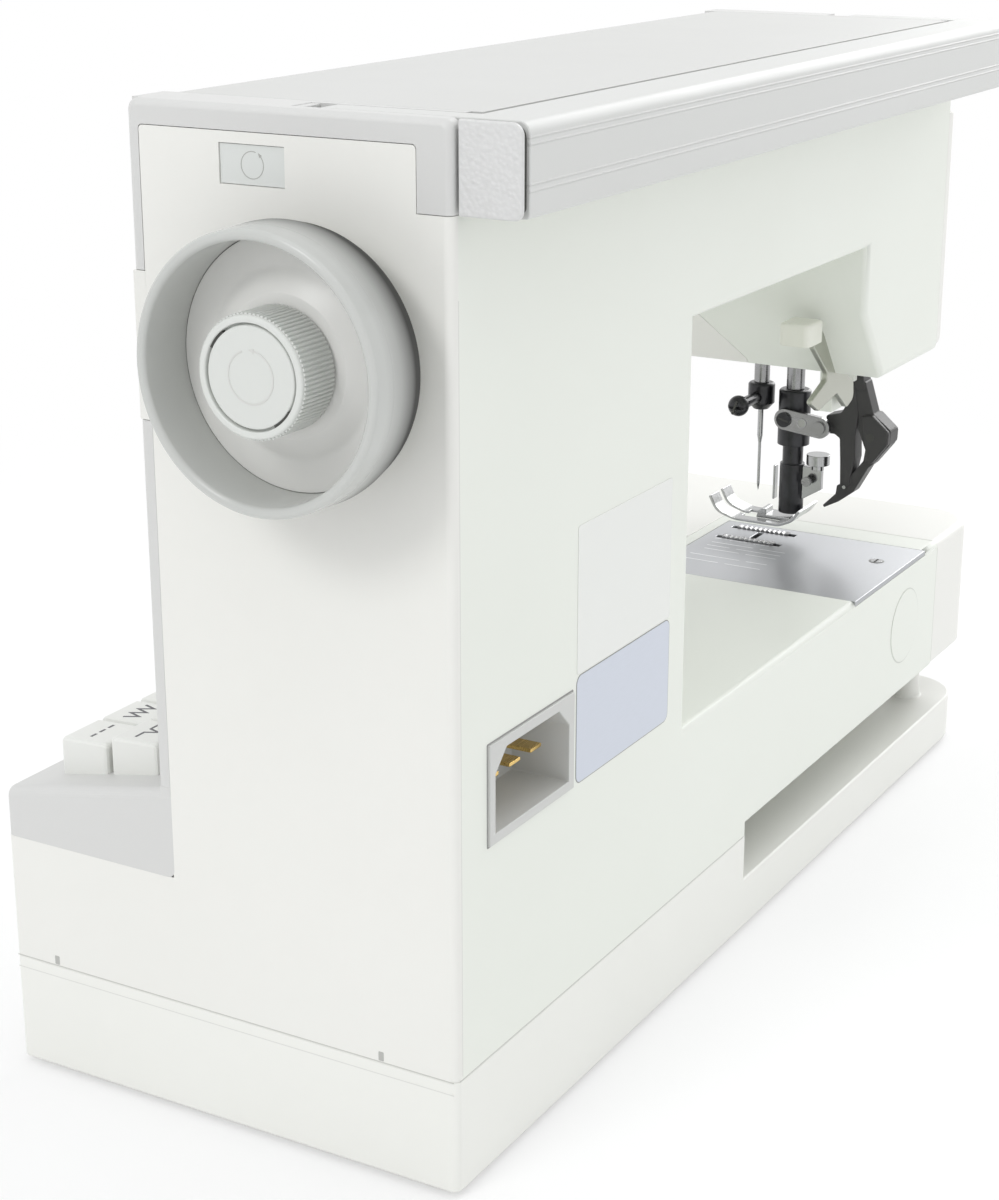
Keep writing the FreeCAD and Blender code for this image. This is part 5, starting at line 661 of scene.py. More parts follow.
def flat(name, outlines, origin, plane, thickness, finish, body="machine", bevel=0.0, segments=2):
    """Outlines (in millimetres) in a plane at an origin, thickened along the plane's outward side."""
    across, upward = plane
    outward = across.cross(upward)
    origin = Vector(origin)
    work = bmesh.new()
    for outline in outlines:
        corners = [work.verts.new(origin + across * (u * MM) + upward * (v * MM)) for u, v in outline]
        face = work.faces.new(corners)
        raised = bmesh.ops.extrude_face_region(work, geom=[face])["geom"]
        top = [item for item in raised if isinstance(item, bmesh.types.BMVert)]
        bmesh.ops.translate(work, verts=top, vec=outward * (thickness * MM))
    bmesh.ops.recalc_face_normals(work, faces=work.faces)
    obj = piece(name, mesh_of(work, name), finish, body)
    soften(obj, bevel, segments, 50)
    return obj


def side_plate(name, outlines, near, far, finish, body, bevel=0.0, segments=2):
    """Outlines of (deep, height), thick from one distance along the machine to another."""
    drawn = [[(-deep, height) for deep, height in outline] for outline in outlines]
    return flat(name, drawn, spot(far, 0, 0), X_FACE, far - near, finish, body, bevel, segments)


print("flat pieces ready")

# %% Outlines
def rounded(corners, steps=8):
    """A closed outline with rounded corners."""
    return rounded_path(corners, True, steps)


def panel(width, height, radius, middle=(0.0, 0.0)):
    """A rectangle with rounded corners."""
    u, v = middle
    signs = ((-1, -1), (1, -1), (1, 1), (-1, 1))
    return rounded([(u + a * width / 2, v + b * height / 2, radius) for a, b in signs])


def open_frame(width, height, line):
    """Four thin bars round a rectangle."""
    return [panel(width, line, line / 3, (0, height / 2)), panel(width, line, line / 3, (0, -height / 2)),
            panel(line, height, line / 3, (width / 2, 0)), panel(line, height, line / 3, (-width / 2, 0))]


def band(inner, outer, start, end, steps=48):
    """Part of a ring, from one angle to another."""
    angles = [math.radians(start + (end - start) * step / steps) for step in range(steps + 1)]
    rim = [(outer * math.cos(angle), outer * math.sin(angle)) for angle in angles]
    bore = [(inner * math.cos(angle), inner * math.sin(angle)) for angle in reversed(angles)]
    return rim + bore


def hoop(inner, outer, steps):
    """A ring with a hair's gap, which keeps it a single outline."""
    return band(inner, outer, 0, 359.9, steps)


def disc(middle, radius, inner=0.0):
    """A round outline, or a ring where an inner radius is given, at (deep, height)."""
    outline = hoop(inner, radius, 40) if inner else panel(radius * 2, radius * 2, radius * 0.999)
    return [(middle[0] + u, middle[1] + v) for u, v in outline]


def turn_mark(radius, width, tip, gap):
    """A nearly closed circle whose end, at an angle, carries an arrow head."""
    circle = band(radius - width / 2, radius + width / 2, gap + 30, gap + 360)
    angle = math.radians(gap)
    base = Vector((radius * math.cos(angle), radius * math.sin(angle)))
    ahead = Vector((-math.sin(angle), math.cos(angle)))
    side = Vector((math.cos(angle), math.sin(angle)))
    head = [base + side * tip * 0.6, base + ahead * tip * 1.5, base - side * tip * 0.6]
    return [circle, head]


def stroke(points, width):
    """A bent line of even width, as one outline with mitred corners."""
    points = [Vector(point) for point in points]
    left = []
    right = []
    for index, here in enumerate(points):
        before = (here - points[index - 1]).normalized() if index else None
        after = (points[index + 1] - here).normalized() if index < len(points) - 1 else None
        first = before or after
        second = after or before
        side = Vector((-first.y - second.y, first.x + second.x)).normalized()
        half = width / 2 / max(side.dot(Vector((-first.y, first.x))), 0.4)
        left.append(here + side * half)
        right.append(here - side * half)
    return left + right[::-1]


print("outlines ready")

# %% [markdown]
# ## Marks on the wheel end
# A small recessed plate shows which way the wheel turns, and the knob repeats the mark in relief. Both
# are thin rings that end in an arrow head. The disc in the knob stands free of its ring. Two dark crescents
# in that gap are painted shade, and so is a dark ring where the wheel's dish meets its rim.

# %% Turning marks
def dull(name, colour, roughness):
    """A finish for thin marks, and for painted shade: gaps, slots, holes, grooves and shadow lines."""
    return enamel(name, colour, roughness, 900.0, 0.00002)


mark_and_shade_grey = dull("grey_mark", (0.42, 0.42, 0.40), 0.5)
knob_mark = dull("pressed_mark", (0.64, 0.64, 0.62), 0.4)
# Painted shade: a dark and a soft grey that stand for the shade in gaps, slots and recesses.
dark_shade = dull("dark_gap", (0.06, 0.06, 0.055), 0.7)
soft_shade = dull("soft_gap", (0.34, 0.34, 0.33), 0.7)
plate_low, plate_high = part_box("direction_plate")
plate_middle = (plate_high[0], (plate_low[1] + plate_high[1]) / 2, (plate_low[2] + plate_high[2]) / 2)
flat("direction_arrow", turn_mark(3.4, 0.22, 0.8, 40), plate_middle, X_FACE, 0.04, mark_and_shade_grey)
flat("knob_arrow", turn_mark(6.6, 0.4, 1.1, 80), on_axis(KNOB_FACE), X_FACE, 0.12, knob_mark, "knob", 0.06)
# Painted shade: two dark crescents in the gap round the knob's disc.
crescent_shade = [band(12.75, 13.5, 128, 152, 12), band(12.75, 13.5, 300, 326, 12)]
flat("knob_gap_shade", crescent_shade, on_axis(KNOB_GROOVE), X_FACE, 1.3, dark_shade, "knob")
# Painted shade: a dark ring where the dish meets the rim.
flat("wheel_gap", [hoop(32.25, 32.72, 128)], on_axis(12.85), X_FACE, 0.05, dark_shade, "drive")
print("turning marks ready")

# %% [markdown]
# ## Bare labels and seams
# Two stickers sit beside the inlet. They stay blank here: a slightly glossy white one above, and a silvery
# blue-grey rating plate below, edged by a thin line of painted shade. The round cap on the free arm closes a
# casting hole: only its fine groove shows, as a ring of painted shade. Two small slots in the seam above the
# base are where the end cover is levered off. The slots, the dark seam line along the base and the line
# round the inlet are painted shade as well.

# %% Labels
LABEL_ALONG = 95.75
rating_place = spot(LABEL_ALONG, 0, 116.0)
cap_place = spot(335.0, 0, 67.5)
paper = enamel("white_label", (0.790, 0.800, 0.775), 0.22, 60.0, 0.00001)
foil = Finish("blue_grey_foil")
foil_grain = foil.noise(220.0, 2.0, 0.5, foil.stretched((1.0, 1.0, 30.0)))
foil.set(Base_Color=foil.ramp(foil_grain, tones((0.600, 0.635, 0.715), 0.02)), Metallic=0.15)
foil.set(Roughness=foil_grain * 0.1 + 0.28)
groove_shade = dull("paint_groove", (0.640, 0.655, 0.610), 0.5)
flat("white_label", [panel(58.9, 43.6, 1.0)], spot(LABEL_ALONG, 0, 154.6), Y_FACE, 0.14, paper, bevel=0.05)
flat("rating_plate", [panel(58.9, 32.4, 2.5)], rating_place, Y_FACE, 0.16, foil, bevel=0.06)
# Painted shade: a thin dark line round the rating plate's edge.
flat("rating_plate_edge", [panel(59.5, 33.0, 2.8)], rating_place, Y_FACE, 0.06, soft_shade)
flat("arm_cap", [panel(28.6, 28.6, 14.2)], cap_place, Y_FACE, 0.2, white_paint, bevel=0.15)
# Painted shade: a soft grey ring for the cap's fine groove.
flat("arm_cap_groove", [hoop(14.3, 14.75, 96)], cap_place, Y_FACE, 0.02, groove_shade)
print("labels ready")

# %% Seams and slots
SEAM_LINE = 0.34
seam_corner = spot(0, 0, 36.45)
slot_grey = dull("slot_grey", (0.46, 0.46, 0.44), 0.6)
seam_line = dull("seam_shadow", (0.57, 0.57, 0.54), 0.6)
seam_soft = dull("seam_soft", (0.70, 0.70, 0.67), 0.6)
lever_slots = [panel(1.7, 2.8, 0.3, (-138.7, 0.0)), panel(1.7, 2.8, 0.3, (-24.3, 0.0))]
# Painted shade: flat grey marks for the two slots.
flat("lever_slots", lever_slots, spot(0, 0, 38.2), X_FACE, 0.04, slot_grey)
# Painted shadow: dark lines along the seam where the casting meets the base.
flat("end_seam", [panel(153.0, SEAM_LINE, 0.1, (-77.5, 0.0))], seam_corner, X_FACE, 0.03, seam_line)
flat("end_seam_lip", [panel(153.0, 0.3, 0.1, (-77.5, 0.0))], spot(0, 0, 32.6), X_FACE, 0.02, seam_soft)
flat("rear_seam", [panel(186.0, SEAM_LINE, 0.1, (94.5, 0.0))], seam_corner, Y_FACE, 0.03, seam_line)
# Painted shade: a soft grey line in the gap round the inlet.
flat("inlet_gap_shade", open_frame(47.7, 29.6, 0.5), spot(40.2, 0, 114.35), Y_FACE, 0.03, soft_shade)
flat("corner_seam", [panel(0.3, 212.0, 0.1)], spot(3.0, 0, 143.4), Y_FACE, 0.03, seam_soft)
slot_place = spot(10.2, 48.2, 291.6)
flat("handle_slot_stop", [panel(9.0, 3.6, 0.3)], slot_place, TOP_FACE, 1.2, grey_trim, bevel=0.2)
print("seams and slots ready")

# %% [markdown]
# ## The carrying handle's end
# The grip is closed by a grained plate. A thin dark sheet between plate and grip is painted shade: it
# stands for the shadow in the gap, which shows as a line behind the plate's rounded corners. All of it
# swings with the handle.

# %% Handle end
bar_along, bar_deep, bar_level = spans(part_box("carrying_handle"))
BAR_END = bar_along[0]
BAR_BACK = bar_deep[0]
BAR_FRONT = -0.8
BAR_LOW, BAR_TOP = bar_level
GAP_WIDTH = 2.2
CAP_WIDTH = 1.5


def bar_end(inset):
    """Outline of the grip's end in (deep, height), drawn in by a little."""
    front = BAR_FRONT - inset
    back = BAR_BACK + inset
    bottom = BAR_LOW + inset
    top = BAR_TOP - inset
    return rounded([(front, bottom, 0.4), (back, bottom, 2.2), (back, top, 3.0), (front, top, 0.4)])


cap_inside = BAR_END - GAP_WIDTH
# Painted shade: a dark sheet in the gap between grip and end plate.
side_plate("handle_gap_shade", [bar_end(0.9)], cap_inside, BAR_END, dark_shade, "handle")
side_plate("handle_cap", [bar_end(0.05)], cap_inside - CAP_WIDTH, cap_inside, grey_leather, "handle", 0.4)
print("handle end ready")

# %% [markdown]
# ## Needle plate
# Sewers steer the cloth by the lines engraved beside the feed slots. They are drawn as thin bright inlays,
# each broken once where its distance mark sits, with the plate's screw in a countersink at the back.

# %% Plate marks
PLATE_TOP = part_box("needle_plate")[1][2] / MM
HALF_LINE = 0.2
HALF_BREAK = 1.4
GUIDES = [
    (329.3, 55, 63, 78), (324.0, 46, 58, 77), (319.5, 46, 66, 77),
    (315.0, 46, 60, 76), (306.5, 46, 56, 78), (300.0, 46, 62, 78),
]
engraved = metal("engraved_line", (0.86, 0.87, 0.88), 0.30, 60.0)
guide_lines = []
for along_line, start, middle, end in GUIDES:
    left = -along_line - HALF_LINE
    right = -along_line + HALF_LINE
    for first, last in ((start, middle - HALF_BREAK), (middle + HALF_BREAK, end)):
        guide_lines.append([(left, -last), (right, -last), (right, -first), (left, -first)])
flat("guide_lines", guide_lines, spot(0, 0, PLATE_TOP), TOP_FACE, 0.03, engraved)

screw_place = spot(332.0, 11.6, PLATE_TOP)
slot_place = spot(332.0, 11.6, PLATE_TOP + 0.2)
# Painted shade: a soft grey ring for the countersink.
flat("plate_screw_sink", [band(0.0, 3.0, 0, 359, 32)], screw_place, TOP_FACE, 0.02, soft_shade)
flat("plate_screw", [panel(4.6, 4.6, 2.29)], screw_place, TOP_FACE, 0.25, chrome, bevel=0.12)
# Painted shade: a dark bar for the screw's slot.
flat("plate_screw_slot", [panel(4.2, 0.8, 0.1)], slot_place, TOP_FACE, 0.07, dark_shade)
print("guide lines", len(guide_lines))

# %% [markdown]
# ## Presser foot
# The sole is a strip of sheet metal bent up at both ends and split into two toes in front of the needle,
# with a wide window where the needle swings. Its side view is one bent line, thickened and drawn across.
# The ankle block rises behind the needle slot.

# %% Presser foot
SOLE = [(81.6, 109.0, 0), (78.6, 103.4, 6.0), (71.0, 101.0, 14.0),
        (52.0, 101.0, 8.0), (46.8, 103.4, 5.0), (43.8, 107.6, 0)]
ANKLE = [(64.0, 101.2, 0), (63.2, 104.2, 0.8), (61.6, 105.4, 0.8), (60.0, 105.2, 0.6),
         (59.8, 102.8, 0.3), (50.0, 102.8, 0.8), (48.8, 101.2, 0)]
WINDOW_BACK = 61.5
WINDOW_FRONT = 69.0
SHEET = 1.1
sole_line = rounded_path(SOLE)
toe = [stroke(sole_line, SHEET)]
tip = [stroke([point for point in sole_line if point.x > WINDOW_FRONT], SHEET)]
heel = [stroke([point for point in sole_line if point.x < WINDOW_BACK], 1.0)]
foot = side_plate("presser_foot_toe_near", toe, 330.6, 335.4, chrome, "foot", 0.25)
side_plate("presser_foot_toe_far", toe, 344.6, 349.4, chrome, "foot", 0.25)
side_plate("presser_foot_tip_near", tip, 335.0, 338.3, chrome, "foot", 0.25)
side_plate("presser_foot_tip_far", tip, 341.7, 345.0, chrome, "foot", 0.25)
side_plate("presser_foot_sole", heel, 335.2, 344.8, chrome, "foot", 0.2)
side_plate("presser_foot_ankle", [rounded(ANKLE)], 336.4, 343.6, chrome, "foot", 0.3)
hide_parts("presser_foot")
print("foot ready")

# %% [markdown]
# ## Dual feed arm and its link
# A charcoal fork pushes the upper cloth from behind the foot. The straight limb hangs in front, the kneed
# one behind carries a broad pad for the finger. A bright link ties the fork to the presser bar with a
# screw and a pin, and a hole between them lightens it.

# %% Dual feed arm
FRONT_LIMB = [
    (30.8, 159.2, 0.6), (25.5, 159.6, 0.6), (23.4, 147.0, 3.0), (24.4, 139.0, 2.0), (24.0, 130.0, 3.0),
    (26.2, 118.6, 0.4), (29.6, 118.2, 0.4), (30.0, 128.0, 2.0), (30.6, 137.4, 1.2), (32.8, 138.8, 0.8),
    (36.4, 138.8, 0.8), (36.4, 145.8, 1.0), (30.4, 147.4, 1.4), (29.0, 150.0, 1.5),
]
BACK_LIMB = [
    (29.0, 160.2, 0.6), (21.4, 160.4, 0.8), (17.6, 148.4, 1.5), (10.2, 142.6, 2.4), (10.6, 137.0, 2.2),
    (17.0, 128.6, 1.0), (18.6, 127.2, 1.5), (24.2, 116.8, 3.0), (30.0, 112.3, 1.5), (35.8, 109.2, 0.3),
    (36.4, 110.0, 0.3), (31.4, 115.2, 1.2), (31.0, 118.6, 0.4), (28.0, 120.0, 0.6), (20.8, 129.6, 1.2),
    (20.2, 134.0, 1.2), (23.4, 141.6, 1.5), (24.0, 150.0, 3.0),
]
PAD = [
    (21.8, 147.4, 1.0), (17.2, 148.0, 0.8), (10.4, 142.2, 2.0), (10.6, 137.6, 2.0), (16.8, 129.2, 0.8),
    (19.6, 130.0, 0.8), (19.4, 134.4, 1.0),
]
HANGER = [(31.0, 157.0, 1.0), (31.0, 166.0, 1.0), (27.0, 170.6, 2.5), (23.0, 166.0, 2.0), (21.2, 157.0, 1.0)]


def limb(name, corners, near, far, bevel):
    """One plate of the fork."""
    return side_plate(name, [rounded(corners)], near, far, black_satin, "dual_feed", bevel)


arm = limb("dual_feed_front_limb", FRONT_LIMB, 336.2, 343.8, 0.35)
limb("dual_feed_back_limb", BACK_LIMB, 336.6, 343.4, 0.35)
limb("dual_feed_pad", PAD, 334.6, 345.4, 0.5)
limb("dual_feed_hanger", HANGER, 336.4, 343.6, 0.3)
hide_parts("dual_feed_arm")
rivets = [disc((27.8, 157.1), 0.9), disc((27.7, 118.6), 0.7)]
side_plate("dual_feed_rivets", rivets, 335.6, 336.4, chrome, "dual_feed", 0.25)
# Painted shade: a dark disc for the eye through the fork.
side_plate("dual_feed_eye", [disc((17.8, 139.6), 1.6)], 334.5, 334.7, dark_shade, "dual_feed")
print("fork ready")

# %% Link screws
LINK_NEAR = (END_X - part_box("dual_feed_link")[1][0]) / MM
LINK_EYE = (44.4, 142.6)


def on_link(name, outline, low, high, finish, bevel=0.0):
    """A small piece on the link's near side, between two heights above it."""
    side_plate(name, [outline], LINK_NEAR - high, LINK_NEAR - low, finish, "presser", bevel)


on_link("link_screw", disc((51.7, 143.2), 2.9), 0, 0.9, black_steel, 0.35)
# Painted shade: a dark bar for the recess in the screw's head.
on_link("link_screw_cross", stroke([(49.6, 142.6), (53.8, 143.8)], 0.7), 0.5, 0.95, dark_shade)
# Painted shade: a grey disc where the link's lightening hole is.
on_link("link_eye", disc(LINK_EYE, 1.6), 0, 0.05, mark_and_shade_grey)
on_link("link_eye_rim", disc(LINK_EYE, 2.0, 1.5), 0, 0.25, chrome, 0.1)
on_link("link_pin", disc((37.3, 141.6), 2.5), 0, 1.0, bright_steel, 0.4)
print("link screws ready")

# %% [markdown]
# ## Presser lifter
# The lifter is a bent strip of steel: one leg runs up to the thumb cap beside the head, the other turns
# back under the head towards the presser bar, and the bend sits on the pivot.

# %% Presser lifter
LEVER = [
    (274.2, 194.0, 0.6), (279.5, 193.2, 3.0), (285.5, 187.6, 4.0), (306.0, 171.0, 3.0), (315.4, 166.0, 3.0),
    (316.4, 158.8, 3.0), (310.0, 156.4, 2.5), (299.6, 164.0, 2.0), (283.0, 160.8, 1.0), (274.6, 165.4, 1.0),
    (291.5, 171.6, 2.0), (276.2, 184.6, 2.0), (274.2, 188.4, 0.6),
]
strip = rounded([(-along, height, radius) for along, height, radius in LEVER])
lever = flat("lifter_strip", [strip], spot(0, 18.0, 0), FRONT_FACE, 2.2, lever_steel, "lifter", 0.4)
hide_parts("lifter_lever")
print("lifter ready")

# %% [markdown]
# ## Foot screw
# The thumb screw that holds the foot has a straight-knurled head: the same rib tree as the knob, smaller
# and upright. A pan-head screw sits in the bracket's cheek, and a slot crosses the needle clamp's ball.

# %% Small screws
grown("foot_screw_knurl", RIBS, bright_steel, "presser", Matrix.Translation(spot(340.0, 40.4, 127.0)),
      Count=36, Radius=4.15 * MM, Rib=0.36 * MM, Length=3.2 * MM)
side_plate("bracket_screw", [disc((43.2, 118.6), 1.9)], 335.2, 336.4, bright_steel, "presser", 0.4)
side_plate("bracket_tab", [panel(0.8, 13.6, 0.3, (57.9, 115.8))], 338.4, 341.6, chrome, "presser", 0.2)
slot = stroke([(-0.9, -2.6), (0.9, 2.6)], 0.8)
# Painted shade: a dark bar for the slot across the clamp's ball.
flat("clamp_slot", [slot], spot(315.0, 65.1, 149.7), X_FACE, 0.55, dark_shade, "needle_group")
print("small screws ready")

# %% [markdown]
# ## Console
# The console is a low block whose top falls towards the front, softly rounded along its end. It is sunk a
# little into the casting and ends just short of it, so that no two faces share a plane.

# %% Console
DROP = 12.0
SUNK = 2.5
END_CLEARANCE = 0.1
(console_near, console_far), (back, front), (bottom, top) = spans(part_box("key_console"))
FALL = DROP / (front - back)
hump = rounded([
    (front, bottom - SUNK, 0), (back - SUNK, bottom - SUNK, 0),
    (back - SUNK, top + SUNK * FALL, 0), (front, top - (front - back) * FALL, 4.0),
])
console_far -= END_CLEARANCE
console = side_plate("console_body", [hump], console_near, console_far, grey_trim, "machine", 2.8, 6)
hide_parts("key_console")
print("console", bottom, top)

# %% [markdown]
# ## Closing strips
# Four plain strips close gaps through which the dark inside would show: a deck at the foot of the column,
# a sill over the front cover, a lip under the lid's rear edge and the heel of the control panel.

# %% Closing strips
flat("base_deck", [panel(50.0, 62.0, 0.3)], spot(161.0, 122.0, 34.2), TOP_FACE, 1.8, base_white)
flat("front_sill", [panel(328.0, 9.4, 0.2)], spot(182.0, 91.2, 251.9), FRONT_FACE, 1.4, white_cover)
flat("lid_lip", [panel(327.0, 6.6, 0.3)], spot(181.6, 5.9, 286.6), Y_FACE, 1.2, grey_lid, "lid")
side_plate("panel_heel", [panel(3.9, 6.0, 0.3, (95.0, 100.2))], 0.05, 5.0, grey_trim, "machine", 0.3)
print("closing strips ready")

# %% [markdown]
# ## Stitch keys and their symbols
# Each key is a wedge with generous rounded edges and a nearly level finger face. On it is the seam that it
# makes, drawn as one bent line: straight, zigzag, stretch zigzag, blind hem, overlock and a buttonhole bar.
# These are the plain signs that such keys carry.

# %% Stitch symbols
SLOPE = math.radians(3.0)
KEY_FACE = (Vector((1, 0, 0)), Vector((0, math.cos(SLOPE), math.sin(SLOPE))))
INK_DEPTH = 0.06
ink = dull("dark_ink", (0.11, 0.11, 0.12), 0.5)


def zigzag(count, width, height, low=0.0):
    """Corner points of a zigzag that runs across."""
    swing = (-height / 2, height / 2)
    return [(-width / 2 + width * step / count, low + swing[step % 2]) for step in range(count + 1)]


SYMBOLS = {
    1: [[(-5.5 + 4 * step, 0), (-3.0 + 4 * step, 0)] for step in range(3)],
    2: [zigzag(6, 11.0, 4.6)],
    3: [zigzag(12, 11.5, 4.0)],
    4: [[(-5.5, -1.5), (-1.5, -1.5), (0.0, 2.6), (1.5, -1.5), (5.5, -1.5)]],
    5: [zigzag(4, 10.0, 4.4), [(-5.5, 3.2), (5.5, 3.2)]],
    6: [zigzag(10, 10.5, 1.8, 2.2), zigzag(10, 10.5, 1.8, -2.2),
        [(-5.6, -3.1), (-5.6, 3.1)], [(5.6, -3.1), (5.6, 3.1)]],
}
for number, lines in SYMBOLS.items():
    (near, far), (back, front), (bottom, top) = spans(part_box(f"stitch_key_{number}"))
    fall = (front - back) * math.tan(SLOPE)
    wedge = rounded([(front, bottom, 0), (front, top - fall, 1.6), (back, top, 1.6), (back, bottom, 0)], 5)
    key = side_plate(f"key_cap_{number}", [wedge], near, far, grey_key, f"key_{number}", 1.1)
    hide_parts(f"stitch_key_{number}")
    middle = spot((near + far) / 2, (back + front) / 2, top - fall / 2)
    symbol = [stroke(line, 0.8) for line in lines]
    flat(f"key_symbol_{number}", symbol, middle, KEY_FACE, INK_DEPTH, ink, f"key_{number}")
print("symbols", len(SYMBOLS))

# %% [markdown]
# ## Dial scales
# Ticks repeat round each dial, so a tree sets one bar per step of an arc, turned to point outwards. The
# numbers are the plain ones of any dial, made from Blender's own letters and turned into a mesh.

# %% Tick tree
def tick_tree():
    """Bars that point outwards, spread along part of a circle."""
    graph, given = new_tree("tick_arc", "Count", "Radius", "Start", "Sweep", "Length", "Width", "Height")
    start, sweep, count = [Value(graph, given[name]) for name in ("Start", "Sweep", "Count")]
    size = graph.node("ShaderNodeCombineXYZ", {0: given["Length"], 1: given["Width"], 2: given["Height"]})
    bar = graph.node("GeometryNodeMeshCube", {"Size": size})
    out = graph.node("ShaderNodeCombineXYZ", {0: given["Radius"]})
    tick = graph.node("GeometryNodeTransform", {"Geometry": bar, "Translation": out})
    steps = graph.node("GeometryNodeMeshLine", {"Count": given["Count"], "Offset": (0.0, 0.0, 0.0)})
    index = Value(graph, graph.node("GeometryNodeInputIndex").outputs[0])
    turn = graph.node("ShaderNodeCombineXYZ", {2: start + index * sweep / (count - 1.0)})
    facing = graph.node("FunctionNodeEulerToRotation", {0: turn})
    ring = graph.node("GeometryNodeInstanceOnPoints", {"Points": steps, "Instance": tick, "Rotation": facing})
    return finish_tree(graph, given, ring)


def frame_of(origin, plane):
    """The matrix that carries a flat drawing into a plane at an origin."""
    across, upward = plane
    outward = across.cross(upward)
    turn = Matrix((across, upward, outward)).transposed().to_4x4()
    return Matrix.Translation(Vector(origin)) @ turn


def digit(name, text, size, origin):
    """One printed number on the front, as a thin mesh."""
    letters = bpy.data.curves.new(name, "FONT")
    letters.body = text
    letters.size = size * MM
    letters.align_x = "CENTER"
    letters.align_y = "CENTER"
    letters.extrude = INK_DEPTH / 2 * MM
    mesh = mesh_from(new_object(name + "_maker", letters))
    mesh.transform(frame_of(origin, FRONT_FACE))
    piece(name, mesh, ink, "machine")


TICKS = tick_tree()
TICK_COUNT = 21
TICK_RADIUS = 18.8
DIGIT_SIZE = 3.2
SCALE_START = math.radians(225)
SCALE_SWEEP = math.radians(-270)


def scale(name, middle, numbers):
    """Ticks round a dial from lower left to lower right, with numbers outside them."""
    grown(name + "_ticks", TICKS, ink, "machine", frame_of(middle, FRONT_FACE), Count=TICK_COUNT,
          Radius=TICK_RADIUS * MM, Start=SCALE_START, Sweep=SCALE_SWEEP, Length=1.8 * MM, Width=0.35 * MM,
          Height=0.08 * MM)
    for step, text in enumerate(numbers):
        angle = SCALE_START + SCALE_SWEEP * step / (len(numbers) - 1)
        outward = Vector((math.cos(angle), 0, math.sin(angle)))
        offset = outward * (TICK_RADIUS + DIGIT_SIZE * 0.95) * MM
        digit(f"{name}_{text}", text, DIGIT_SIZE, Vector(middle) + offset)


panel_front = (REAR_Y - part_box("control_panel")[0][1]) / MM
scale("length_scale", spot(64.0, panel_front, 181.0), "01234")
scale("width_scale", spot(64.0, panel_front, 136.5), "012345")
print("scales ready")

# %% Pointers and arrows
DIALS = {"stitch_length_dial": "length_dial", "stitch_width_dial": "width_dial", "tension_dial": "tension"}
BEND = 3.4


def front_middle(low, high):
    """The middle of a box's front face."""
    return ((low[0] + high[0]) / 2, low[1], (low[2] + high[2]) / 2)


for node, body in DIALS.items():
    low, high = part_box(node)
    radius = (high[0] - low[0]) / 2 / MM
    pointer = panel(0.9, radius * 0.55, 0.4, (0.0, radius * 0.6))
    flat(f"{node}_pointer", [pointer], front_middle(low, high), FRONT_FACE, INK_DEPTH, ink, body)
low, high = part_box("reverse_key")
angles = [math.radians(degrees) for degrees in range(0, 181, 15)]
bend = [(BEND * math.cos(angle), 0.6 + BEND * math.sin(angle)) for angle in angles]
u_turn = stroke([(BEND, -3.2), *bend, (-BEND, -1.4)], 0.7)
arrow_head = [(-5.2, -1.2), (-1.6, -1.2), (-3.4, -3.8)]
flat("reverse_sign", [u_turn, arrow_head], front_middle(low, high), FRONT_FACE, INK_DEPTH, ink, "reverse")
print("pointers ready")

# %% [markdown]
# ## Lights and floor
# A broad lamp overhead, a weak one behind, a small one for the wheel's highlight, one over the bed and a
# pale room give the even, nearly shadowless light of a product picture. The floor is matt and white and
# keeps a soft shadow.

# %% Lamps
def lamp(name, place, target, size, power):
    light = bpy.data.lights.new(name, "AREA")
    light.shape = "DISK"
    light.size = size
    light.energy = power
    obj = new_object(name, light)
    obj.location = place
    obj.rotation_euler = (Vector(target) - Vector(place)).to_track_quat("-Z", "Y").to_euler()


lamp("overhead", (0.2, 0.3, 1.9), (0.0, 0.0, 0.1), 1.8, 5.9)
lamp("rear_side", (0.3, 1.9, 0.35), (0.0, 0.0, 0.05), 1.3, 1.7)
lamp("wheel_side", (1.6, -0.3, 1.25), (0.1, 0.0, 0.15), 0.6, 7.2)
lamp("bed_side", (-1.5, 0.2, 0.8), (-0.1, 0.0, 0.08), 1.2, 12.0)
print("lamps ready")

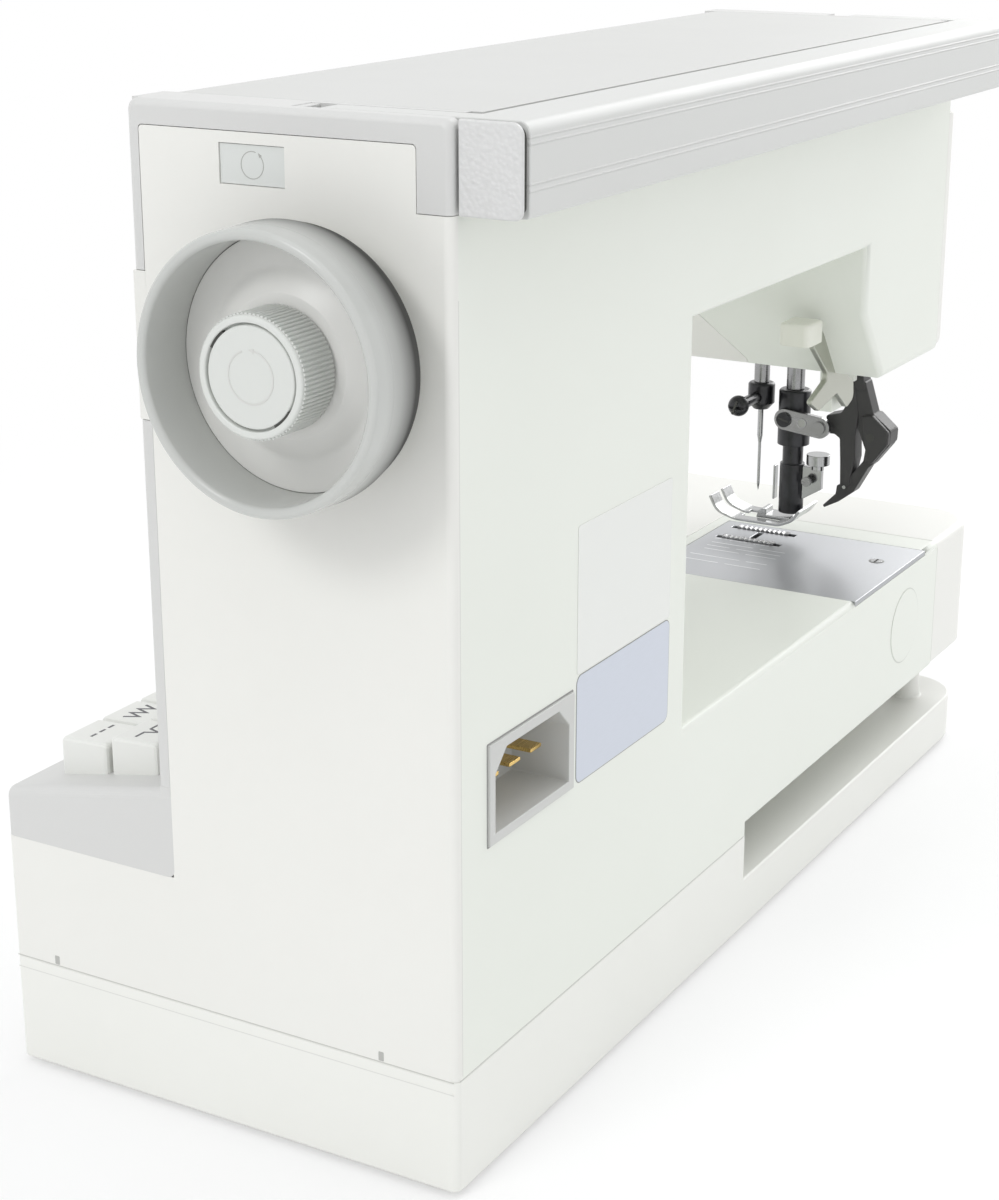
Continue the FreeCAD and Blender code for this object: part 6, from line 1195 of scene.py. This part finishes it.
# %% Floor and room
FLOOR_TONES = [(0.3, (0.90, 0.90, 0.90, 1)), (0.7, (0.93, 0.93, 0.93, 1))]
WHITE = (1.0, 1.0, 1.0, 1.0)
SHADOW_NEAR = 0.2
SHADOW_FAR = 0.75
PAPER_SHARE = 0.45


def seen_directly(graph):
    """One for rays from the camera, a mirror or glass, else nought."""
    rays = graph.node("ShaderNodeLightPath").outputs
    seen = Value(graph, rays["Is Camera Ray"])
    for kind in ("Is Glossy Ray", "Is Transmission Ray"):
        seen = seen.at_least(rays[kind])
    return seen


ground = Finish("studio_floor")
ground.set(Base_Color=ground.ramp(ground.noise(3.0), FLOOR_TONES), Roughness=0.9)
reach = ground.node("ShaderNodeVectorMath", {0: ground.place}, operation="LENGTH")
fade = ground.node("ShaderNodeMapRange", {
    0: reach.outputs["Value"], 1: SHADOW_NEAR, 2: SHADOW_FAR, 3: PAPER_SHARE, 4: 1.0,
}, interpolation_type="SMOOTHSTEP")
paper_white = ground.node("ShaderNodeEmission", {"Color": WHITE, "Strength": 1.0})
blend = seen_directly(ground) * fade
floor_mix = ground.node("ShaderNodeMixShader", {0: blend, 1: ground.shader, 2: paper_white})
ground.node("ShaderNodeOutputMaterial", {"Surface": floor_mix}, is_active_output=True)
floor_mesh = bpy.data.meshes.new("studio_floor")
floor_mesh.from_pydata([(-6, -6, 0), (6, -6, 0), (6, 6, 0), (-6, 6, 0)], [], [(0, 1, 2, 3)])
floor_mesh.materials.append(ground.material)
floor = new_object("studio_floor", floor_mesh)

room = bpy.data.worlds.new("studio_room")
room.use_nodes = True
scene.world = room
sky = Graph(room.node_tree)
room.node_tree.nodes.clear()
soft = sky.node("ShaderNodeBackground", {"Color": (0.98, 0.99, 1.0, 1.0), "Strength": 0.78})
bright = sky.node("ShaderNodeBackground", {"Color": WHITE, "Strength": 1.0})
mixed = sky.node("ShaderNodeMixShader", {0: seen_directly(sky), 1: soft, 2: bright})
sky.node("ShaderNodeOutputWorld", {0: mixed})
scene.view_settings.view_transform = "Standard"
print("floor and room ready")
